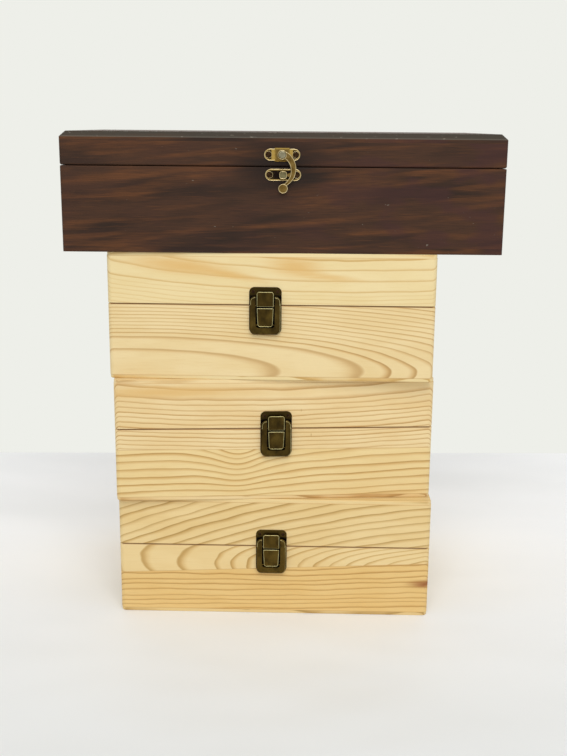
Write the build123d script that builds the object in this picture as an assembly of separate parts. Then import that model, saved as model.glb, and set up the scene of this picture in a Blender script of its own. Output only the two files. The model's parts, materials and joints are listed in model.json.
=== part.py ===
"""Four lidded wooden boxes in a stack: three pine boxes with toggle latches under one dark box.

Millimetres, +Z up. The origin is the centre of the lowest box's underside, and -Y is the front.
Every box is drawn in its own frame (origin at the centre of its underside) and then set in the
stack. Metalwork is drawn in a face frame: origin on the wood at the lid seam, +X to the right,
+Z up, and "out" measured away from the wood.
"""
from build123d import *
import os
from dataclasses import dataclass
from math import cos, radians, sin

# Pine boxes
PINE_WIDTH = 280.0
PINE_DEPTH = 205.0
PINE_BASE_HEIGHT = 65.4
PINE_LID_HEIGHT = 44.6
PINE_WALL = 9.0
PINE_PANEL = 3.2
PINE_CORNER = 4.5
PINE_EASE = 0.5
PANEL_INSET = 0.25
PINE_HINGE_X = 85.0

# Dark box
DARK_WIDTH = 370.0
DARK_DEPTH = 200.0
DARK_BASE_HEIGHT = 71.1
DARK_LID_HEIGHT = 27.9
DARK_WALL = 10.0
DARK_PANEL = 5.0
DARK_TOP_PANEL = 7.5
DARK_TOP_CHAMFER = 4.5
DARK_CORNER = 2.4
DARK_LID_ROUND = 1.6
DARK_BASE_ROUND = 0.8
DARK_HINGE_X = 125.0

SEAM_GAP = 0.5

# Butt hinges, two to a box, on the back
HINGE_LENGTH = 30.0
HINGE_LEAF_HEIGHT = 16.0
HINGE_LEAF_THICKNESS = 1.1
HINGE_KNUCKLE_RADIUS = 2.2
HINGE_PIN_RADIUS = 1.1
HINGE_AXIS_OUT = 2.6
KNUCKLE_GAP = 0.2
RUNNING_CLEARANCE = 0.05
LEAF_GAP = 0.2
HINGE_PIN_HEAD_LENGTH = 0.6
HINGE_PIN_HEAD_RADIUS = 1.6
HINGE_SCREW_X = 9.5
HINGE_SCREW_Z = 9.5

# Screws
SCREW_SHANK_RADIUS = 0.7
SCREW_SHANK_LENGTH = 6.5
SCREW_HEAD_RADIUS = 1.5
SCREW_HEAD_HEIGHT = 0.45
SCREW_SLOT_WIDTH = 0.35
SCREW_SLOT_DEPTH = 0.225

# Toggle latch
PLATE_WIDTH = 27.6
PLATE_THICKNESS = 0.8
CATCH_TOP = 15.9
LATCH_BOTTOM = -24.4
PLATE_CORNER = 4.6
PLATE_BEVEL = 0.3
CATCH_SCREWS = [(-10.4, 12.0), (10.4, 12.0)]
LATCH_SCREWS = [(-5.0, -9.0), (5.0, -9.0)]
TONGUE_WIDTH = 14.4
TONGUE_TOP = 12.3
TONGUE_BOTTOM = -0.4
TONGUE_FRONT = 4.4
TONGUE_THICKNESS = 1.1
TONGUE_CORNER = 2.0
TONGUE_BEVEL = 0.35
TONGUE_ROOT_INSET = 0.8
TONGUE_ROOT_BOTTOM = 8.0
TONGUE_ROOT_TOP = 11.1
LEDGE_INSET = 1.0
LEDGE_TOP = 0.4
LEDGE_DEPTH = 0.8
LEVER_WIDTH = 26.3
LEVER_TOP = 8.4
LEVER_FRONT = 4.8
LEVER_THICKNESS = 1.6
LEVER_BEVEL = 1.1
LEVER_OPENING_WIDTH = 16.4
LEVER_OPENING_BOTTOM = -18.6
LEVER_OPENING_CORNER = 2.6
LEVER_WEB_HEIGHT = 1.8
LEVER_PIVOT_OUT = 2.2
LEVER_PIVOT_Z = -23.7
LEVER_BARREL_RADIUS = 0.9
LEVER_PIN_RADIUS = 0.5
LEVER_BARREL_HALF = 9.0
EAR_WIDTH = 1.4
EAR_SINK = 0.3
LINK_TOP = -1.7
LINK_BOTTOM = -17.7
LINK_TOP_WIDTH = 14.2
LINK_BOTTOM_WIDTH = 12.8
LINK_FRONT = 4.6
LINK_THICKNESS = 1.2
LINK_PIVOT_OUT = 4.0
LINK_PIVOT_Z = -16.2
LINK_PIN_RADIUS = 0.36
LINK_PIN_SINK = 2.0
LINK_CORNER = 2.2
LINK_BEVEL = 0.3
LINK_LIP_INSET = 1.2
LINK_STEP_HEIGHT = 1.5
LIP_BACK = 1.5
LIP_FRONT = 2.3
LIP_TOP = 1.4
LIP_TURN_BOTTOM = 0.7
LIP_TURN_FRONT = 3.0

# Swing-hook clasp
CLASP_PLATE_LENGTH = 29.8
CLASP_PLATE_HEIGHT = 9.6
CLASP_PLATE_THICKNESS = 1.0
CLASP_PLATE_BEVEL = 0.35
CLASP_RECESS_RADIUS = 2.7
CLASP_RECESS_FLOOR = 0.5
CLASP_SCREW_HEAD_RADIUS = 2.3
CLASP_HOOK_Z = 10.1
CLASP_POST_X = 0.9
CLASP_POST_Z = -6.2
CLASP_SCREW_SPACING = 22.6
CLASP_BRIDGE_WIDTH = 12.4
CLASP_BRIDGE_HEIGHT = 11.0
CLASP_BRIDGE_OUT = 2.6
CLASP_BRIDGE_BEVEL = 1.4
HOOK_BACK = 2.8
HOOK_FRONT = 4.0
HOOK_EYE_RADIUS = 3.9
HOOK_END_X = 0.9
HOOK_END_Z = -27.4
HOOK_BEVEL = 0.3
HOOK_ARM_OUTER = [(3.8, 2.2), (11.6, -10.4), (3.4, -25.2)]
HOOK_ARM_INNER = [(0.8, -24.0), (7.0, -10.2), (2.4, -2.6)]
BARB_BACK = 1.6
BARB_TIP_GAP = 0.4
BARB_HALF_HEIGHT = 2.2
BARB_HEEL_X = [7.4, 9.6, 9.0, 6.6]
RIVET_HEAD_RADIUS = 3.1
RIVET_HEAD_HEIGHT = 0.9
RIVET_HEAD_ROUND = 0.6
RIVET_GAP = 0.1
RIVET_SHANK_RADIUS = 1.5
POST_NECK_RADIUS = 1.6
POST_HEAD_SIZE = 6.4
POST_HEAD_CORNER = 2.2
POST_HEAD_BEVEL = 0.5
POST_HEAD_BACK = 3.0
POST_HEAD_FRONT = 4.6


@dataclass(frozen=True)
class Box:
    """Size of one box and its place in the stack."""

    name: str
    width: float
    depth: float
    base_height: float
    lid_height: float
    wall: float
    x: float
    y: float
    z: float
    yaw: float
    latch_x: float
    hinge_x: float
    glue_below_seam: float = 0.0
    glue_tilt: float = 0.0

    @property
    def place(self):
        """Location of the box's own frame in the stack."""
        return Location((self.x, self.y, self.z), (0, 0, self.yaw))

    @property
    def front_face(self):
        """Location of the latch's face frame in the box's frame."""
        return Location((self.latch_x, -self.depth / 2, self.base_height))

    @property
    def hinge_faces(self):
        """Locations of the two hinges' face frames in the box's frame."""
        return [
            Location((x, self.depth / 2, self.base_height), (0, 0, 180))
            for x in (-self.hinge_x, self.hinge_x)
        ]


PINE_HEIGHT = PINE_BASE_HEIGHT + PINE_LID_HEIGHT


def pine_box(name, level, x, y, yaw, latch_x, glue_below_seam=0.0, glue_tilt=0.0):
    """One of the three equal pine boxes, at its level in the stack."""
    return Box(name, PINE_WIDTH, PINE_DEPTH, PINE_BASE_HEIGHT, PINE_LID_HEIGHT, PINE_WALL,
               x, y, level * PINE_HEIGHT, yaw, latch_x, PINE_HINGE_X, glue_below_seam, glue_tilt)


PINE_BOXES = [
    pine_box("lower", 0, 0.0, 0.0, 0.0, -2.6, glue_below_seam=21.0, glue_tilt=2.6),
    pine_box("middle", 1, -8.6, 1.6, 4.76, 1.0, glue_below_seam=18.7),
    pine_box("upper", 2, -3.9, -1.6, 0.0, -5.0),
]
DARK_BOX = Box("dark", DARK_WIDTH, DARK_DEPTH, DARK_BASE_HEIGHT, DARK_LID_HEIGHT, DARK_WALL,
               3.2, -3.7, 3 * PINE_HEIGHT, 1.25, -1.0, DARK_HINGE_X)


# ---------------------------------------------------------------- helpers

def solids(*shapes):
    """All solids of the given shapes as one compound, one STEP node."""
    found = []
    for shape in shapes:
        found.extend(shape.solids())
    return Compound(found)


def block(x0, x1, y0, y1, z0, z1):
    """A plain box between two corners."""
    return Solid.make_box(x1 - x0, y1 - y0, z1 - z0).moved(Pos(x0, y0, z0))


def slab(outline, back, front):
    """An outline in X and Z made solid between two distances out from the wood."""
    return extrude(Plane.XZ.offset(back) * outline, front - back)


def rod(x0, x1, out, z, radius):
    """A round bar along X, at a distance out from the wood."""
    return extrude(Plane.YZ.offset(x0) * Pos(-out, z) * Circle(radius), x1 - x0)


def rectangle(x0, x1, z0, z1):
    """A rectangle outline given by its sides."""
    return Pos((x0 + x1) / 2, (z0 + z1) / 2) * Rectangle(x1 - x0, z1 - z0)


def shank(x, z, radius=SCREW_SHANK_RADIUS):
    """The part of a screw below its head, which is also its hole in plate and wood."""
    return slab(Pos(x, z) * Circle(radius), -SCREW_SHANK_LENGTH, PLATE_THICKNESS)


def screw(x, z, seat, head_radius=SCREW_HEAD_RADIUS):
    """A slotted round-head screw whose head sits on a plate of thickness seat."""
    head = slab(Pos(x, z) * Circle(head_radius), seat, seat + SCREW_HEAD_HEIGHT)
    head = chamfer(head.faces().sort_by(Axis.Y)[0].edges(), SCREW_SLOT_DEPTH)
    slot = slab(
        rectangle(x - head_radius, x + head_radius, z - SCREW_SLOT_WIDTH / 2, z + SCREW_SLOT_WIDTH / 2),
        seat + SCREW_HEAD_HEIGHT - SCREW_SLOT_DEPTH, seat + SCREW_HEAD_HEIGHT)
    stem = slab(Pos(x, z) * Circle(SCREW_SHANK_RADIUS), -SCREW_SHANK_LENGTH, seat)
    return head - slot + stem


def on_faces(places, shapes):
    """Copies of face-frame shapes at each place."""
    return [shape.moved(place) for place in places for shape in shapes]


# ---------------------------------------------------------------- boards

def rounded_board(x0, x1, y0, y1, z0, z1, radius, outer):
    """A board whose two outer upright edges are rounded; outer is -1 at the front, 1 at the back."""
    board = block(x0, x1, y0, y1, z0, z1)
    sides = board.edges().filter_by(Axis.Z).group_by(Axis.Y)
    return fillet(sides[0] if outer < 0 else sides[-1], radius)


def panel(width, depth, z0, z1, radius):
    """A flat panel with the rounded corners of the box."""
    board = block(-width / 2, width / 2, -depth / 2, depth / 2, z0, z1)
    return fillet(board.edges().filter_by(Axis.Z), radius)


def pine_panel(box, z0, z1, level):
    """A pine floor or top panel, a hair inside the boards, with its outer face's edge broken."""
    inset = 2 * PANEL_INSET
    board = panel(box.width - inset, box.depth - inset, z0, z1, PINE_CORNER)
    face = board.faces().sort_by(Axis.Z)[-1 if level > 0 else 0]
    return chamfer(face.edges(), PINE_EASE)


def bevelled_panel(width, depth, z0, z1, radius):
    """The dark lid's top panel, with a broad 45 degree bevel all round its upper edge."""
    inset = 2 * DARK_TOP_CHAMFER
    shoulder = z1 - DARK_TOP_CHAMFER
    rim = Pos(0, 0, shoulder) * RectangleRounded(width, depth, radius)
    crown = Pos(0, 0, z1) * RectangleRounded(width - inset, depth - inset, radius)
    return panel(width, depth, z0, shoulder, radius) + loft([rim, crown], ruled=True)


def outer_edges(board, outer, level):
    """The outer edges of a long board's top (level 1) or bottom (level -1) face."""
    face = board.faces().sort_by(Axis.Z)[-1 if level > 0 else 0]
    rows = face.edges().group_by(Axis.Y)
    kept = rows[:-1] if outer < 0 else rows[1:]
    return [edge for row in kept for edge in row]


def long_board(box, outer, z0, z1, radius):
    """The front (outer -1) or back (outer 1) board of a box or lid."""
    half_x, half_y, wall = box.width / 2, box.depth / 2, box.wall
    y0, y1 = (-half_y, -half_y + wall) if outer < 0 else (half_y - wall, half_y)
    return rounded_board(-half_x, half_x, y0, y1, z0, z1, radius, outer)


def pine_long_board(box, outer, z0, z1, level):
    """A pine front or back board, its edge at the lid seam (on top or below) broken."""
    board = long_board(box, outer, z0, z1, PINE_CORNER)
    return chamfer(outer_edges(board, outer, level), PINE_EASE)


def dark_long_board(box, outer, z0, z1, level):
    """A dark front or back board, rounded at the lid seam, more so on the lid."""
    board = long_board(box, outer, z0, z1, DARK_CORNER)
    radius = DARK_BASE_ROUND if level > 0 else DARK_LID_ROUND
    return fillet(outer_edges(board, outer, level), radius)


def end_boards(box, z0, z1, level, soften, amount):
    """The two end boards, butted between front and back, softened at the lid seam."""
    half_x, half_y, wall = box.width / 2, box.depth / 2, box.wall
    boards = []
    for side in (-1, 1):
        x0, x1 = sorted((side * half_x, side * (half_x - wall)))
        board = block(x0, x1, -half_y + wall, half_y - wall, z0, z1)
        face = board.faces().sort_by(Axis.Z)[-1 if level > 0 else 0]
        edges = face.edges().filter_by(Axis.Y).sort_by(Axis.X)
        boards.append(soften(edges[0] if side < 0 else edges[-1], amount))
    return boards


def staves(box, board):
    """The front board cut along its glue line into two staves, or whole where it has none."""
    if not box.glue_below_seam:
        return [board]
    height = box.base_height - box.glue_below_seam
    lower_half = Pos(0, 0, height) * Rot(0, -box.glue_tilt, 0) * block(
        -box.width, box.width, -box.depth, box.depth, -box.base_height * 2, 0)
    return [board - lower_half, board & lower_half]


def drilled(board, holes):
    """A board with its screw holes."""
    for hole in holes:
        board = board - hole
    return board


# ---------------------------------------------------------------- hinges

def hinge_leaf(side, knuckles):
    """One leaf with its knuckles; side is -1 for the box's leaf and 1 for the lid's."""
    half = HINGE_LENGTH / 2
    clear = HINGE_KNUCKLE_RADIUS + KNUCKLE_GAP + LEAF_GAP
    near, far = sorted((side * clear, side * HINGE_LEAF_HEIGHT))
    leaf = slab(rectangle(-half, half, near, far), 0, HINGE_LEAF_THICKNESS)
    for x0, x1 in knuckles:
        low, high = sorted((side * LEAF_GAP, side * clear))
        leaf = leaf + slab(rectangle(x0, x1, low, high), 0, HINGE_LEAF_THICKNESS)
        leaf = leaf + rod(x0, x1, HINGE_AXIS_OUT, 0, HINGE_KNUCKLE_RADIUS)
    for x in (-HINGE_SCREW_X, HINGE_SCREW_X):
        leaf = leaf - slab(Pos(x, side * HINGE_SCREW_Z) * Circle(SCREW_SHANK_RADIUS),
                           0, HINGE_LEAF_THICKNESS)
    return leaf


def box_leaf():
    """The box's leaf: two outer knuckles, tight on the pin."""
    half, inner = HINGE_LENGTH / 2, HINGE_LENGTH / 6
    leaf = hinge_leaf(-1, [(-half, -inner), (inner, half)])
    return leaf - rod(-half, half, HINGE_AXIS_OUT, 0, HINGE_PIN_RADIUS)


def hinge_pin():
    """The hinge's pin, with a small head at each end."""
    half = HINGE_LENGTH / 2
    pin = rod(-half, half, HINGE_AXIS_OUT, 0, HINGE_PIN_RADIUS)
    for x0, x1 in ((-half - HINGE_PIN_HEAD_LENGTH, -half), (half, half + HINGE_PIN_HEAD_LENGTH)):
        pin = pin + rod(x0, x1, HINGE_AXIS_OUT, 0, HINGE_PIN_HEAD_RADIUS)
    return pin


def lid_leaf():
    """The lid's leaf: one middle knuckle that turns on the pin."""
    inner = HINGE_LENGTH / 6 - KNUCKLE_GAP
    leaf = hinge_leaf(1, [(-inner, inner)])
    return leaf - rod(-inner, inner, HINGE_AXIS_OUT, 0, HINGE_PIN_RADIUS + RUNNING_CLEARANCE)


def hinge_screw_points(side):
    """Face-frame places of one leaf's two screws."""
    return [(-HINGE_SCREW_X, side * HINGE_SCREW_Z), (HINGE_SCREW_X, side * HINGE_SCREW_Z)]


def hinge_holes(box, side):
    """Screw holes in the back board for the leaves on one side of the seam."""
    holes = [shank(x, z) for x, z in hinge_screw_points(side)]
    return on_faces(box.hinge_faces, holes)


def hinge_screws(box, side):
    """Screws of the leaves on one side of the seam."""
    screws = [screw(x, z, HINGE_LEAF_THICKNESS) for x, z in hinge_screw_points(side)]
    return on_faces(box.hinge_faces, screws)


# ---------------------------------------------------------------- toggle latch

def catch_plate():
    """The plate on the lid with its raised tongue, hooked at the bottom for the link."""
    half = PLATE_WIDTH / 2
    plate = slab(rectangle(-half, half, SEAM_GAP, CATCH_TOP), 0, PLATE_THICKNESS)
    plate = fillet(plate.edges().filter_by(Axis.Y).group_by(Axis.Z)[-1], PLATE_CORNER)
    plate = chamfer(plate.faces().sort_by(Axis.Y)[0].edges(), PLATE_BEVEL)
    for x, z in CATCH_SCREWS:
        plate = plate - slab(Pos(x, z) * Circle(SCREW_SHANK_RADIUS), 0, PLATE_THICKNESS)
    half = TONGUE_WIDTH / 2
    back = TONGUE_FRONT - TONGUE_THICKNESS
    tongue = slab(rectangle(-half, half, TONGUE_BOTTOM, TONGUE_TOP), back, TONGUE_FRONT)
    tongue = fillet(tongue.edges().filter_by(Axis.Y).group_by(Axis.Z)[-1], TONGUE_CORNER)
    tongue = chamfer(tongue.faces().sort_by(Axis.Y)[0].edges(), TONGUE_BEVEL)
    root_half, ledge_half = half - TONGUE_ROOT_INSET, half - LEDGE_INSET
    root = slab(rectangle(-root_half, root_half, TONGUE_ROOT_BOTTOM, TONGUE_ROOT_TOP),
                PLATE_THICKNESS, back)
    ledge = slab(rectangle(-ledge_half, ledge_half, TONGUE_BOTTOM, LEDGE_TOP),
                 back - LEDGE_DEPTH, back)
    return plate + root + tongue + ledge


def latch_plate():
    """The plate on the box front, with the two ears and the pin that the lever turns on."""
    half = PLATE_WIDTH / 2
    plate = slab(rectangle(-half, half, LATCH_BOTTOM, -SEAM_GAP), 0, PLATE_THICKNESS)
    plate = fillet(plate.edges().filter_by(Axis.Y).group_by(Axis.Z)[0], PLATE_CORNER)
    plate = chamfer(plate.faces().sort_by(Axis.Y)[0].edges(), PLATE_BEVEL)
    for x, z in LATCH_SCREWS:
        plate = plate - slab(Pos(x, z) * Circle(SCREW_SHANK_RADIUS), 0, PLATE_THICKNESS)
    inner = LEVER_BARREL_HALF + KNUCKLE_GAP
    outer = inner + EAR_WIDTH
    for x0, x1 in ((-outer, -inner), (inner, outer)):
        ear = rod(x0, x1, LEVER_PIVOT_OUT, LEVER_PIVOT_Z, LEVER_BARREL_RADIUS)
        foot = slab(rectangle(x0, x1, LEVER_PIVOT_Z - EAR_SINK,
                              LEVER_PIVOT_Z + LEVER_BARREL_RADIUS),
                    PLATE_THICKNESS - EAR_SINK, LEVER_PIVOT_OUT)
        plate = plate + ear + foot
    return plate + rod(-outer, outer, LEVER_PIVOT_OUT, LEVER_PIVOT_Z, LEVER_PIN_RADIUS)


def latch_lever():
    """The U-shaped lever: a bevelled frame open at the top, with its barrel at the bottom edge."""
    half, back = LEVER_WIDTH / 2, LEVER_FRONT - LEVER_THICKNESS
    bottom = LEVER_PIVOT_Z - LEVER_BARREL_RADIUS
    frame = slab(rectangle(-half, half, bottom, LEVER_TOP), back, LEVER_FRONT)
    frame = fillet(frame.edges().filter_by(Axis.Y), PLATE_CORNER)
    frame = chamfer(frame.faces().sort_by(Axis.Y)[0].edges(), LEVER_BEVEL)
    gap = LEVER_OPENING_WIDTH / 2
    opening = slab(rectangle(-gap, gap, LEVER_OPENING_BOTTOM, LEVER_TOP), back, LEVER_FRONT)
    opening = fillet(opening.edges().filter_by(Axis.Y).group_by(Axis.Z)[0], LEVER_OPENING_CORNER)
    frame = frame - opening
    barrel = rod(-LEVER_BARREL_HALF, LEVER_BARREL_HALF, LEVER_PIVOT_OUT, LEVER_PIVOT_Z,
                 LEVER_BARREL_RADIUS)
    web = slab(rectangle(-LEVER_BARREL_HALF, LEVER_BARREL_HALF, bottom, bottom + LEVER_WEB_HEIGHT),
               LEVER_PIVOT_OUT, back)
    bore = rod(-LEVER_BARREL_HALF, LEVER_BARREL_HALF, LEVER_PIVOT_OUT, LEVER_PIVOT_Z,
               LEVER_PIN_RADIUS + RUNNING_CLEARANCE)
    link_pin = rod(-gap - LINK_PIN_SINK, gap + LINK_PIN_SINK, LINK_PIVOT_OUT, LINK_PIVOT_Z, LINK_PIN_RADIUS)
    return frame + barrel + web - bore + link_pin


def latch_link():
    """The tapered plate that turns in the lever and hooks up behind the lid's tongue."""
    top, bottom = LINK_TOP_WIDTH / 2, LINK_BOTTOM_WIDTH / 2
    outline = make_face(Polyline(
        (-top, LINK_TOP), (top, LINK_TOP), (bottom, LINK_BOTTOM), (-bottom, LINK_BOTTOM),
        close=True))
    back = LINK_FRONT - LINK_THICKNESS
    plate = slab(outline, back, LINK_FRONT)
    plate = fillet(plate.edges().filter_by(Axis.Y).group_by(Axis.Z)[0], LINK_CORNER)
    plate = chamfer(plate.faces().sort_by(Axis.Y)[0].edges(), LINK_BEVEL)
    half = top - LINK_LIP_INSET
    step = slab(rectangle(-half, half, LINK_TOP - LINK_STEP_HEIGHT, LINK_TOP), LIP_BACK, back)
    lip = slab(rectangle(-half, half, LINK_TOP, LIP_TOP), LIP_BACK, LIP_FRONT)
    turn = slab(rectangle(-half, half, LIP_TURN_BOTTOM, LIP_TOP), LIP_FRONT, LIP_TURN_FRONT)
    bore = rod(-top, top, LINK_PIVOT_OUT, LINK_PIVOT_Z, LINK_PIN_RADIUS + RUNNING_CLEARANCE)
    return plate + step + lip + turn - bore


# ---------------------------------------------------------------- swing-hook clasp

def stadium_plate(x, z):
    """A round-ended plate with two screw holes, centred on a point."""
    plate = slab(Pos(x, z) * SlotOverall(CLASP_PLATE_LENGTH, CLASP_PLATE_HEIGHT),
                 0, CLASP_PLATE_THICKNESS)
    plate = chamfer(plate.faces().sort_by(Axis.Y)[0].edges(), CLASP_PLATE_BEVEL)
    for sx, sz in clasp_screw_points(x, z):
        plate = plate - slab(Pos(sx, sz) * Circle(CLASP_RECESS_RADIUS),
                             CLASP_RECESS_FLOOR, CLASP_PLATE_THICKNESS)
        plate = plate - slab(Pos(sx, sz) * Circle(SCREW_SHANK_RADIUS), 0, CLASP_RECESS_FLOOR)
    return plate


def clasp_screw_points(x, z):
    """The two screw places of a clasp plate."""
    return [(x - CLASP_SCREW_SPACING / 2, z), (x + CLASP_SCREW_SPACING / 2, z)]


def clasp_screw(x, z):
    """A wide flat-head screw sunk in a clasp plate."""
    return screw(x, z, CLASP_RECESS_FLOOR, CLASP_SCREW_HEAD_RADIUS)


def hook_plate():
    """The clasp's plate on the lid, with the raised bridge under the hook."""
    half_x, half_z = CLASP_BRIDGE_WIDTH / 2, CLASP_BRIDGE_HEIGHT / 2
    bridge = slab(rectangle(-half_x, half_x, CLASP_HOOK_Z - half_z, CLASP_HOOK_Z + half_z),
                  0, CLASP_BRIDGE_OUT)
    bridge = chamfer(bridge.faces().sort_by(Axis.Y)[0].edges(), CLASP_BRIDGE_BEVEL)
    bore = slab(Pos(0, CLASP_HOOK_Z) * Circle(RIVET_SHANK_RADIUS), 0, CLASP_BRIDGE_OUT)
    return stadium_plate(0, CLASP_HOOK_Z) + bridge - bore


def hook_rivet():
    """The rivet that the hook turns on: a shank and a domed head."""
    centre = Pos(0, CLASP_HOOK_Z)
    back = HOOK_FRONT + RIVET_GAP
    head = slab(centre * Circle(RIVET_HEAD_RADIUS), back, back + RIVET_HEAD_HEIGHT)
    head = fillet(head.faces().sort_by(Axis.Y)[0].edges(), RIVET_HEAD_ROUND)
    return head + slab(centre * Circle(RIVET_SHANK_RADIUS), 0, back)


def swing_hook():
    """The curved hook: an eye on the rivet, an arm, a round finger end and a barb for the post."""
    outer, inner = HOOK_ARM_OUTER, HOOK_ARM_INNER
    arm = make_face(
        Line(inner[-1], outer[0]) + ThreePointArc(*outer)
        + Line(outer[-1], inner[0]) + ThreePointArc(*inner)
    )
    eye = Circle(HOOK_EYE_RADIUS)
    finger_end = Pos(HOOK_END_X, HOOK_END_Z) * Circle(HOOK_EYE_RADIUS)
    pieces = []
    for outline in (arm, eye, finger_end):
        piece = slab(Pos(0, CLASP_HOOK_Z) * outline, HOOK_BACK, HOOK_FRONT)
        pieces.append(chamfer(piece.faces().sort_by(Axis.Y)[0].edges(), HOOK_BEVEL))
    hook = pieces[0] + pieces[1] + pieces[2]
    tip = (CLASP_POST_X + POST_NECK_RADIUS + BARB_TIP_GAP, CLASP_POST_Z)
    top, bottom = CLASP_POST_Z + BARB_HALF_HEIGHT, CLASP_POST_Z - BARB_HALF_HEIGHT
    heel = list(zip(BARB_HEEL_X, (top, top, bottom, bottom)))
    barb = slab(make_face(Polyline(tip, *heel, close=True)), BARB_BACK, HOOK_BACK)
    bore = slab(Pos(0, CLASP_HOOK_Z) * Circle(RIVET_SHANK_RADIUS + RUNNING_CLEARANCE),
                HOOK_BACK, HOOK_FRONT)
    return hook + barb - bore


def post():
    """The post on the box front that the hook's barb goes behind."""
    centre = Pos(CLASP_POST_X, CLASP_POST_Z)
    neck = slab(centre * Circle(POST_NECK_RADIUS), CLASP_PLATE_THICKNESS, POST_HEAD_BACK)
    head = slab(centre * RectangleRounded(POST_HEAD_SIZE, POST_HEAD_SIZE, POST_HEAD_CORNER),
                POST_HEAD_BACK, POST_HEAD_FRONT)
    return neck + chamfer(head.faces().sort_by(Axis.Y)[0].edges(), POST_HEAD_BEVEL)


# ---------------------------------------------------------------- boxes

def pine_nodes(box):
    """All nodes of one pine box, in the box's frame."""
    seam, top = box.base_height, box.base_height + box.lid_height
    lid_low = seam + SEAM_GAP
    front = box.front_face
    catch_holes = on_faces([front], [shank(x, z) for x, z in CATCH_SCREWS])
    latch_holes = on_faces([front], [shank(x, z) for x, z in LATCH_SCREWS])
    catch_screws = on_faces([front], [screw(x, z, PLATE_THICKNESS) for x, z in CATCH_SCREWS])
    latch_screws = on_faces([front], [screw(x, z, PLATE_THICKNESS) for x, z in LATCH_SCREWS])
    front_board = drilled(pine_long_board(box, -1, PINE_PANEL, seam, 1), latch_holes)
    back_board = pine_long_board(box, 1, PINE_PANEL, seam, 1)
    rail_top = top - PINE_PANEL
    front_rail = pine_long_board(box, -1, lid_low, rail_top, -1)
    back_rail = pine_long_board(box, 1, lid_low, rail_top, -1)
    rails = [
        drilled(front_rail, catch_holes),
        drilled(back_rail, hinge_holes(box, 1)),
        *end_boards(box, lid_low, rail_top, -1, chamfer, PINE_EASE),
    ]
    hinges = box.hinge_faces
    return {
        "front_board": solids(*staves(box, front_board)),
        "back_board": drilled(back_board, hinge_holes(box, -1)),
        "end_boards": solids(*end_boards(box, PINE_PANEL, seam, 1, chamfer, PINE_EASE)),
        "floor_panel": pine_panel(box, 0, PINE_PANEL, -1),
        "hinge_lower_leaves": solids(*on_faces(hinges, [box_leaf(), hinge_pin()])),
        "latch_plate": latch_plate().moved(front),
        "base_screws": solids(*latch_screws, *hinge_screws(box, -1)),
        "lid_rails": solids(*rails),
        "lid_panel": pine_panel(box, rail_top, top, 1),
        "hinge_upper_leaves": solids(*on_faces(hinges, [lid_leaf()])),
        "catch_plate": catch_plate().moved(front),
        "lid_screws": solids(*catch_screws, *hinge_screws(box, 1)),
        "latch_lever": latch_lever().moved(front),
        "latch_link": latch_link().moved(front),
    }


def dark_nodes(box):
    """All nodes of the dark box, in the box's frame."""
    seam, top = box.base_height, box.base_height + box.lid_height
    lid_low, rail_top = seam + SEAM_GAP, top - DARK_TOP_PANEL
    front, hinges = box.front_face, box.hinge_faces
    hook_points = clasp_screw_points(0, CLASP_HOOK_Z)
    post_points = clasp_screw_points(CLASP_POST_X, CLASP_POST_Z)
    hook_holes = on_faces([front], [shank(x, z) for x, z in hook_points])
    post_holes = on_faces([front], [shank(x, z) for x, z in post_points])
    return {
        "front_board": drilled(dark_long_board(box, -1, DARK_PANEL, seam, 1), post_holes),
        "back_board": drilled(dark_long_board(box, 1, DARK_PANEL, seam, 1),
                              hinge_holes(box, -1)),
        "end_boards": solids(*end_boards(box, DARK_PANEL, seam, 1, fillet, DARK_BASE_ROUND)),
        "floor_panel": panel(box.width, box.depth, 0, DARK_PANEL, DARK_CORNER),
        "hinge_lower_leaves": solids(*on_faces(hinges, [box_leaf(), hinge_pin()])),
        "post_plate": stadium_plate(CLASP_POST_X, CLASP_POST_Z).moved(front),
        "post": post().moved(front),
        "base_screws": solids(*on_faces([front], [clasp_screw(x, z) for x, z in post_points]),
                              *hinge_screws(box, -1)),
        "lid_front_rail": drilled(dark_long_board(box, -1, lid_low, rail_top, -1), hook_holes),
        "lid_back_rail": drilled(dark_long_board(box, 1, lid_low, rail_top, -1),
                                 hinge_holes(box, 1)),
        "lid_end_rails": solids(*end_boards(box, lid_low, rail_top, -1, fillet,
                                            DARK_LID_ROUND)),
        "lid_panel": bevelled_panel(box.width, box.depth, rail_top, top, DARK_CORNER),
        "hinge_upper_leaves": solids(*on_faces(hinges, [lid_leaf()])),
        "hook_plate": hook_plate().moved(front),
        "lid_screws": solids(*on_faces([front], [clasp_screw(x, z) for x, z in hook_points]),
                             *hinge_screws(box, 1)),
        "hook_rivet": hook_rivet().moved(front),
        "hook": swing_hook().moved(front),
    }


def joint_point(box, local_x, local_y, local_z):
    """A point of a box's own frame, in the stack's frame."""
    turn = radians(box.yaw)
    return (
        round(box.x + local_x * cos(turn) - local_y * sin(turn), 4),
        round(box.y + local_x * sin(turn) + local_y * cos(turn), 4),
        round(box.z + local_z, 4),
    )


def print_joints():
    """Print each joint's point, to be read against the record."""
    for box in [*PINE_BOXES, DARK_BOX]:
        front, back = -box.depth / 2, box.depth / 2
        print(box.name, "lid hinge", joint_point(box, 0, back + HINGE_AXIS_OUT, box.base_height))
        if box is DARK_BOX:
            print(box.name, "hook", joint_point(box, box.latch_x, front - HOOK_FRONT,
                                                box.base_height + CLASP_HOOK_Z))
            continue
        print(box.name, "lever", joint_point(box, box.latch_x, front - LEVER_PIVOT_OUT,
                                             box.base_height + LEVER_PIVOT_Z))
        print(box.name, "link", joint_point(box, box.latch_x, front - LINK_PIVOT_OUT,
                                            box.base_height + LINK_PIVOT_Z))


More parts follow.
